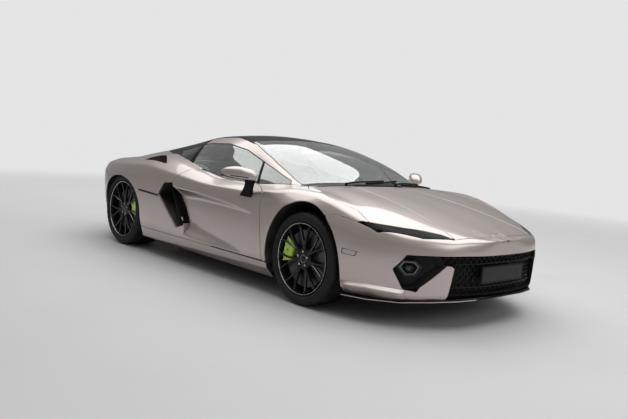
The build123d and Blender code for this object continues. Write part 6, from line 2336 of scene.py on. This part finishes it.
class BuildSeats(bpy.types.Operator):
    """Build the seats: shells, padded squabs and backs, bolsters, head rests, seams and belts"""
    bl_idname = "supercar.seats"
    bl_label = "Seats"

    def execute(self, context):
        shell_rows, pads = [], []
        for sign in (-1, 1):
            y = SEAT_Y * sign
            outer = [(440, 170), (440, 250), (400, 262), (0, 232), (-70, 250), (-310, 760), (-330, 792),
                     (-378, 792), (-390, 760), (-396, 690), (-190, 190), (-150, 165)]
            rings = []
            for off, grow in ((-228, 0.93), (-222, 1.0), (-120, 1.0), (120, 1.0), (222, 1.0), (228, 0.93)):
                rings.append([(-30 + (x + 30) * grow, y + off, 420 + (z - 420) * grow) for x, z in outer])
            shell_rows.append((lofted(rings), 0))
            shell_rows.append((box(-120, 380, y - 200, y - 170, 141, 172), 1))
            shell_rows.append((box(-120, 380, y + 170, y + 200, 141, 172), 1))
            squab = turned_block(180, 296, 430, 92, math.radians(4))
            pads.append((cushion(squab, y - 140, y + 140, 0.05), 0))
            for side in (-1, 1):
                wing = turned_block(190, 300, 440, 128, math.radians(4))
                pads.append((cushion(wing, y + side * 178 - 42, y + side * 178 + 42, 0.03, 6), 0))
                wing = turned_block(-170, 510, 104, 400, math.radians(23))
                pads.append((cushion(wing, y + side * 170 - 44, y + side * 170 + 44, 0.03, 6), 0))
            for k in range(4):
                panel = turned_block(-92 - 46 * k, 392 + 104 * k, 74, 110, math.radians(23))
                pads.append((cushion(panel, y - 126, y + 126, 0.07), 1))
            head = turned_block(-312, 760, 84, 130, math.radians(20))
            pads.append((cushion(head, y - 110, y + 110, 0.04), 0))
            for side in (-1, 1):
                seam = [(-40 - 62 * k, y + side * 130, 366 + 142 * k) for k in range(4)]
                shell_rows.append((tube(seam, 1.6, 6), 2))
                if side != sign:
                    continue
                belt = [(-395, y + side * 60, 775), (-330, y + side * 66, 640), (-282, y + side * 80, 500)]
                rings = [[(x, yy - 22, z), (x, yy + 22, z), (x + 3, yy + 22, z + 1), (x + 3, yy - 22, z + 1)]
                         for x, yy, z in belt]
                shell_rows.append((lofted(rings), 3))
        pad = piece("seat_pads", pads, [leather(), suede()], "body", (), "cabin_leather", angle=60,
                    smooth_steps=1)
        piece("seats", shell_rows, [satin_black(), frame_metal(), stitch(), suede()], "body", ["seats"],
              "cabin_leather", bevel=3.0)
        return {"FINISHED"}


class BuildDash(bpy.types.Operator):
    """Build the dashboard, its screens and vents, the console, the carpet and the steering wheel"""
    bl_idname = "supercar.dash"
    bl_label = "Dashboard"

    def execute(self, context):
        rows = []
        outline = [(870, 778), (760, 792), (640, 786), (560, 764), (528, 738), (520, 700), (545, 664),
                   (640, 640), (700, 560), (870, 522)]
        rings = []
        for y, grow in ((-720, 0.94), (-712, 1.0), (-480, 1.0), (-300, 1.02), (-100, 1.0), (100, 1.0),
                        (300, 1.02), (480, 1.0), (712, 1.0), (720, 0.94)):
            rings.append([(700 + (x - 700) * grow, y, 660 + (z - 660) * grow) for x, z in outline])
        rows.append((lofted(rings), 0))
        rows.append((lofted([smooth_ring([(x, y0, 770), (x, y1, 770),
                                          (x, y1 - 14, 826 - drop), (x, y0 + 14, 826 - drop)], 4)
                             for x, y0, y1, drop in ((545, 240, 500, 6), (560, 232, 508, 0),
                                                     (660, 236, 504, 6), (740, 250, 490, 34))]), 0))
        rows.append((box(541, 547, 262, 478, 752, 806), 1))
        rows.append((prism(turned_block(520, 640, 12, 190, math.radians(-20)), "y", -105, 105), 1))
        for y in (-640, -560, -180, 180, 560, 640):
            rows.append((lofted([smooth_ring([(x, y - 34, 700), (x, y + 34, 700), (x, y + 26, 742),
                                              (x, y - 26, 742)], 3) for x in (514, 524)]), 2))
            for k in range(4):
                rows.append((box(511, 516, y - 26, y + 26, 706 + 9 * k, 708 + 9 * k), 1))
        rows.append((tube([(524, y, 757) for y in range(-700, 701, 100)], 1.6, 6), 3))
        console = []
        for x, half, top in ((640, 80, 560), (520, 92, 500), (380, 100, 430), (200, 104, 404), (0, 104, 410),
                             (-200, 104, 430), (-400, 96, 470), (-470, 90, 480)):
            console.append(smooth_ring([(x, -half, 322), (x, half, 322), (x, half - 12, top),
                                        (x, -half + 12, top)], 4))
        rows.append((lofted(console), 4))
        rows.append((rod((330, 0, 420), (330, 0, 436), 34, 28, 30), 2))
        for k in range(5):
            for y0, y1 in ((-60, -34), (34, 60)):
                rows.append((box(390 - 26 * k, 404 - 26 * k, y0, y1, 424 - 3 * k, 432 - 3 * k), 1))
        toe_board = [(850, 152), (840, 152), (700, 152), (860, 470), (864, 470)]
        rows += [(box(-440, 850, -780, -112, 140.5, 150), 5), (box(-440, 850, 112, 780, 140.5, 150), 5),
                 (prism(toe_board, "y", -700, 700), 5)]
        for y in (270, 340, 430):
            pedal = turned_block(760, 300, 10, 100, math.radians(20))
            rows.append((prism(pedal, "y", y - 26, y + 26), 2))
            rows.append((rod((775, y, 340), (850, y, 470), 7, 8), 2))
        materials = [leather(), gloss_black(), machined(), stitch(), suede(), carpet()]
        piece("dashboard", rows, materials, "body", ["dashboard"], "cabin_trim", bevel=2.0, angle=40)
        piece("steering_wheel", steering_rows(), [leather(), gloss_black(), machined(), stitch()], "body",
              ["steering_wheel"], "cabin_leather", bevel=0.8, segments=1, angle=45)
        return {"FINISHED"}


def steering_rows():
    """Flat-bottomed wheel on its column, leaning back."""
    centre, lean = Vector((400, 370, 690)), math.radians(22)
    up = Vector((math.sin(lean), 0, math.cos(lean)))
    across = Vector((0, 1, 0))
    ahead = across.cross(up) * -1

    def at(a, b, c=0.0):
        return centre + across * a + up * b + ahead * c

    turns = circle(64)
    path = [(168 * math.cos(t), max(168 * math.sin(t), -138)) for t in turns]
    rings = []
    for k, (a, b) in enumerate(path):
        outward = Vector((a, b)).normalized()
        thick = 15 + 1.5 * math.cos(4 * math.pi * k / 64)
        rings.append([at(a + outward.x * math.cos(s) * thick,
                         b + outward.y * math.cos(s) * thick, math.sin(s) * thick * 0.85)
                      for s in circle(12)])
    rows = [(lofted(rings, closed=True), 0)]
    for a, b in ((150, 10), (-150, 10), (0, -132)):
        wide = Vector((-b, a)).normalized() * 15
        rows.append((lofted([[at(a * s + wide.x * w, b * s + wide.y * w, -6 + 8 * s),
                              at(a * s - wide.x * w, b * s - wide.y * w, -6 + 8 * s),
                              at(a * s - wide.x * w, b * s - wide.y * w, 4 + 8 * s),
                              at(a * s + wide.x * w, b * s + wide.y * w, 4 + 8 * s)]
                             for s, w in ((0.3, 1.6), (0.6, 0.9), (1.0, 1.1))]), 1))
    hub = [[at(r * math.cos(t), r * math.sin(t) * 0.85, c) for t in circle(32)]
           for r, c in ((34, 34), (58, 28), (64, 10), (62, -8), (52, -18), (34, -20))]
    rows.append((lofted(hub), 0))
    for side in (-1, 1):
        rows.append((rod(at(side * 84, 6, -12), at(side * 84, 6, -22), 12, 20, 10), 2))
        paddle = ((60, 40), (132, 66), (140, 20), (60, 10))
        rows.append((lofted([[at(side * a, b, c) for a, b in paddle] for c in (24, 28)]), 2))
    rows.append((rod(at(0, 0, 20), at(0, -10, 190), 30, 24, 38), 1))
    seam = [at(a * 0.915, b * 0.915, -10) for a, b in path]
    rows.append((tube(seam[:28], 1.2, 6), 3))
    return rows


# ---- finishes of the frame's own parts ---------------------------------------------------------
class BuildFrameFinish(bpy.types.Operator):
    """Give the frame's own visible parts their finishes"""
    bl_idname = "supercar.frame_finish"
    bl_label = "Frame finish"

    def execute(self, context):
        metal, cast = frame_metal(), cast_metal()
        chosen = {"floor_pan": metal, "bulkheads": satin_black(), "front_tub": liner_black(),
                  "rear_frame": metal, "hinge_posts": metal, "suspension": cast, "knuckle_left": cast,
                  "knuckle_right": cast}
        for name, material in chosen.items():
            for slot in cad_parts[name].material_slots:
                slot.material = material
        return {"FINISHED"}


# ---- the stage ---------------------------------------------------------------------------------
FLOOR_SIZE = 120.0
# Name, place, target, width, length and power of each lamp
LAMPS = (
    ("Ceiling", (-0.4, 1.6, 5.6), (-0.4, 1.6, 0), 12.0, 9.5, 640),
    ("Nose", (7.5, 0.5, 3.4), (1.5, 0, 0.4), 5.0, 2.4, 70),
    ("Back", (-7.5, 1.0, 3.2), (-1, 0, 0.6), 5.0, 2.0, 40),
)
CAMERA_AT = (4.8282, -4.1689, 1.1765)
CAMERA_YAW, CAMERA_PITCH, CAMERA_ROLL = 2.3934, -0.1013, 0.0804
LENS, SENSOR = 39.75, 36.0
BACKDROP = (0.78, 0.78, 0.785, 1)
SKY_COLOUR, SKY_STRENGTH = (0.90, 0.88, 0.87, 1), 0.27


class BuildStage(bpy.types.Operator):
    """Build the floor, the lights, the world and the camera"""
    bl_idname = "supercar.stage"
    bl_label = "Stage"

    def execute(self, context):
        scene = context.scene
        floor, half = bpy.data.meshes.new("Floor"), FLOOR_SIZE / 2
        floor.from_pydata([(-half, -half, 0), (half, -half, 0), (half, half, 0), (-half, half, 0)], [],
                          [(0, 1, 2, 3)])
        floor.materials.append(floor_paint())
        obj = bpy.data.objects.new("Floor", floor)
        scene.collection.objects.link(obj)
        for name, place_at, target, wide, long, power in LAMPS:
            lamp = bpy.data.lights.new(name, "AREA")
            lamp.shape, lamp.size, lamp.size_y, lamp.energy = "RECTANGLE", wide, long, power
            lamp_object = bpy.data.objects.new(name, lamp)
            lamp_object.visible_glossy = name != "Back"
            lamp_object.location = place_at
            way = Vector(target) - Vector(place_at)
            lamp_object.rotation_euler = way.to_track_quat("-Z", "Y").to_euler()
            scene.collection.objects.link(lamp_object)
        sky()
        scene.camera = camera()
        scene.view_settings.view_transform = "Standard"
        return {"FINISHED"}


def camera():
    """Camera from its place, yaw, pitch and roll."""
    data = bpy.data.cameras.new("Camera")
    data.lens = LENS
    data.sensor_width = SENSOR
    level = math.cos(CAMERA_PITCH)
    ahead = Vector((level * math.cos(CAMERA_YAW), level * math.sin(CAMERA_YAW), math.sin(CAMERA_PITCH)))
    right = ahead.cross(Vector((0, 0, 1))).normalized()
    up = right.cross(ahead)
    across = right * math.cos(CAMERA_ROLL) + up * math.sin(CAMERA_ROLL)
    over = up * math.cos(CAMERA_ROLL) - right * math.sin(CAMERA_ROLL)
    obj = bpy.data.objects.new("Camera", data)
    turn = Matrix((across, over, -ahead)).transposed()
    obj.matrix_world = Matrix.Translation(CAMERA_AT) @ turn.to_4x4()
    bpy.context.scene.collection.objects.link(obj)
    return obj


def sky():
    """Even pale light all round, and the same pale colour behind the car."""
    world = bpy.data.worlds.new("Studio")
    bpy.context.scene.world = world
    world.use_nodes = True
    g = Graph(world.node_tree)
    world.node_tree.nodes.clear()
    rays = g.add("LightPath")
    seen = g.math("MAXIMUM", rays.outputs["Is Camera Ray"], rays.outputs["Is Transmission Ray"])
    light = g.add("Background", {"Color": SKY_COLOUR, "Strength": SKY_STRENGTH})
    backdrop = g.add("Background", {"Color": BACKDROP, "Strength": 1.0})
    mixed = g.add("MixShader", {0: seen, 1: light.outputs[0], 2: backdrop.outputs[0]})
    out = g.add("OutputWorld")
    g.tree.links.new(mixed.outputs[0], out.inputs["Surface"])


def floor_paint():
    """Pale floor with faint unevenness, which runs into the pale background far from the car."""
    material, g, shader = new_material("StudioFloor")
    base = tuple(paint_settings().floor)
    shade = g.mix(g.ramp(g.noise(0.8, 5.0), 0.3, 0.7), tuple(c * 0.97 for c in base) + (1,), base + (1,))
    g.tree.links.new(shade, shader.inputs["Base Color"])
    g.tree.links.new(g.ramp(g.noise(3.0, 4.0), 0.3, 0.7, 0.5, 0.65), shader.inputs["Roughness"])
    away = g.add("VectorMath", {0: g.place()}, operation="LENGTH").outputs["Value"]
    far = g.math("MULTIPLY", g.ramp(away, 3.2, 11.0), g.add("LightPath").outputs["Is Camera Ray"])
    glow = g.add("Emission", {"Color": BACKDROP, "Strength": 1.0})
    mixed = g.add("MixShader", {0: far, 1: shader.outputs[0], 2: glow.outputs[0]})
    g.tree.links.new(mixed.outputs[0], material.node_tree.nodes["Material Output"].inputs["Surface"])
    return material


# ---- the panel, and running it all -------------------------------------------------------------
class SupercarPanel(bpy.types.Panel):
    """Lists the settings and the steps in the 3D view's sidebar"""
    bl_idname = "VIEW3D_PT_supercar"
    bl_label = "Supercar"
    bl_space_type = "VIEW_3D"
    bl_region_type = "UI"
    bl_category = "Supercar"

    def draw(self, context):
        layout = self.layout
        for settings in (context.scene.supercar_paint, context.scene.supercar_sizes):
            for name in settings.__annotations__:
                layout.prop(settings, name)
        for step in STEPS:
            layout.operator(step.bl_idname)


STEPS = (BuildHood, BuildFront, BuildRear, BuildRoof, BuildGlass, BuildDoors, BuildGrille, BuildDayLamps,
         BuildHeadlamps, BuildCowl, BuildLip, BuildMirrors, BuildDucts, BuildTyres, BuildRims,
         BuildBrakes, BuildLiners, BuildTail, BuildDiffuser, BuildEngine, BuildSeats, BuildDash,
         BuildFrameFinish, BuildStage)
CLASSES = (PaintSettings, SizeSettings) + STEPS + (SupercarPanel,)


def register():
    for each in CLASSES:
        bpy.utils.register_class(each)
    bpy.types.Scene.supercar_paint = PointerProperty(type=PaintSettings)
    bpy.types.Scene.supercar_sizes = PointerProperty(type=SizeSettings)


def unregister():
    del bpy.types.Scene.supercar_sizes
    del bpy.types.Scene.supercar_paint
    for each in reversed(CLASSES):
        bpy.utils.unregister_class(each)


def main():
    register()
    for step in STEPS:
        group, action = step.bl_idname.split(".")
        getattr(getattr(bpy.ops, group), action)()
    bpy.context.view_layer.update()


if __name__ == "__main__":
    main()
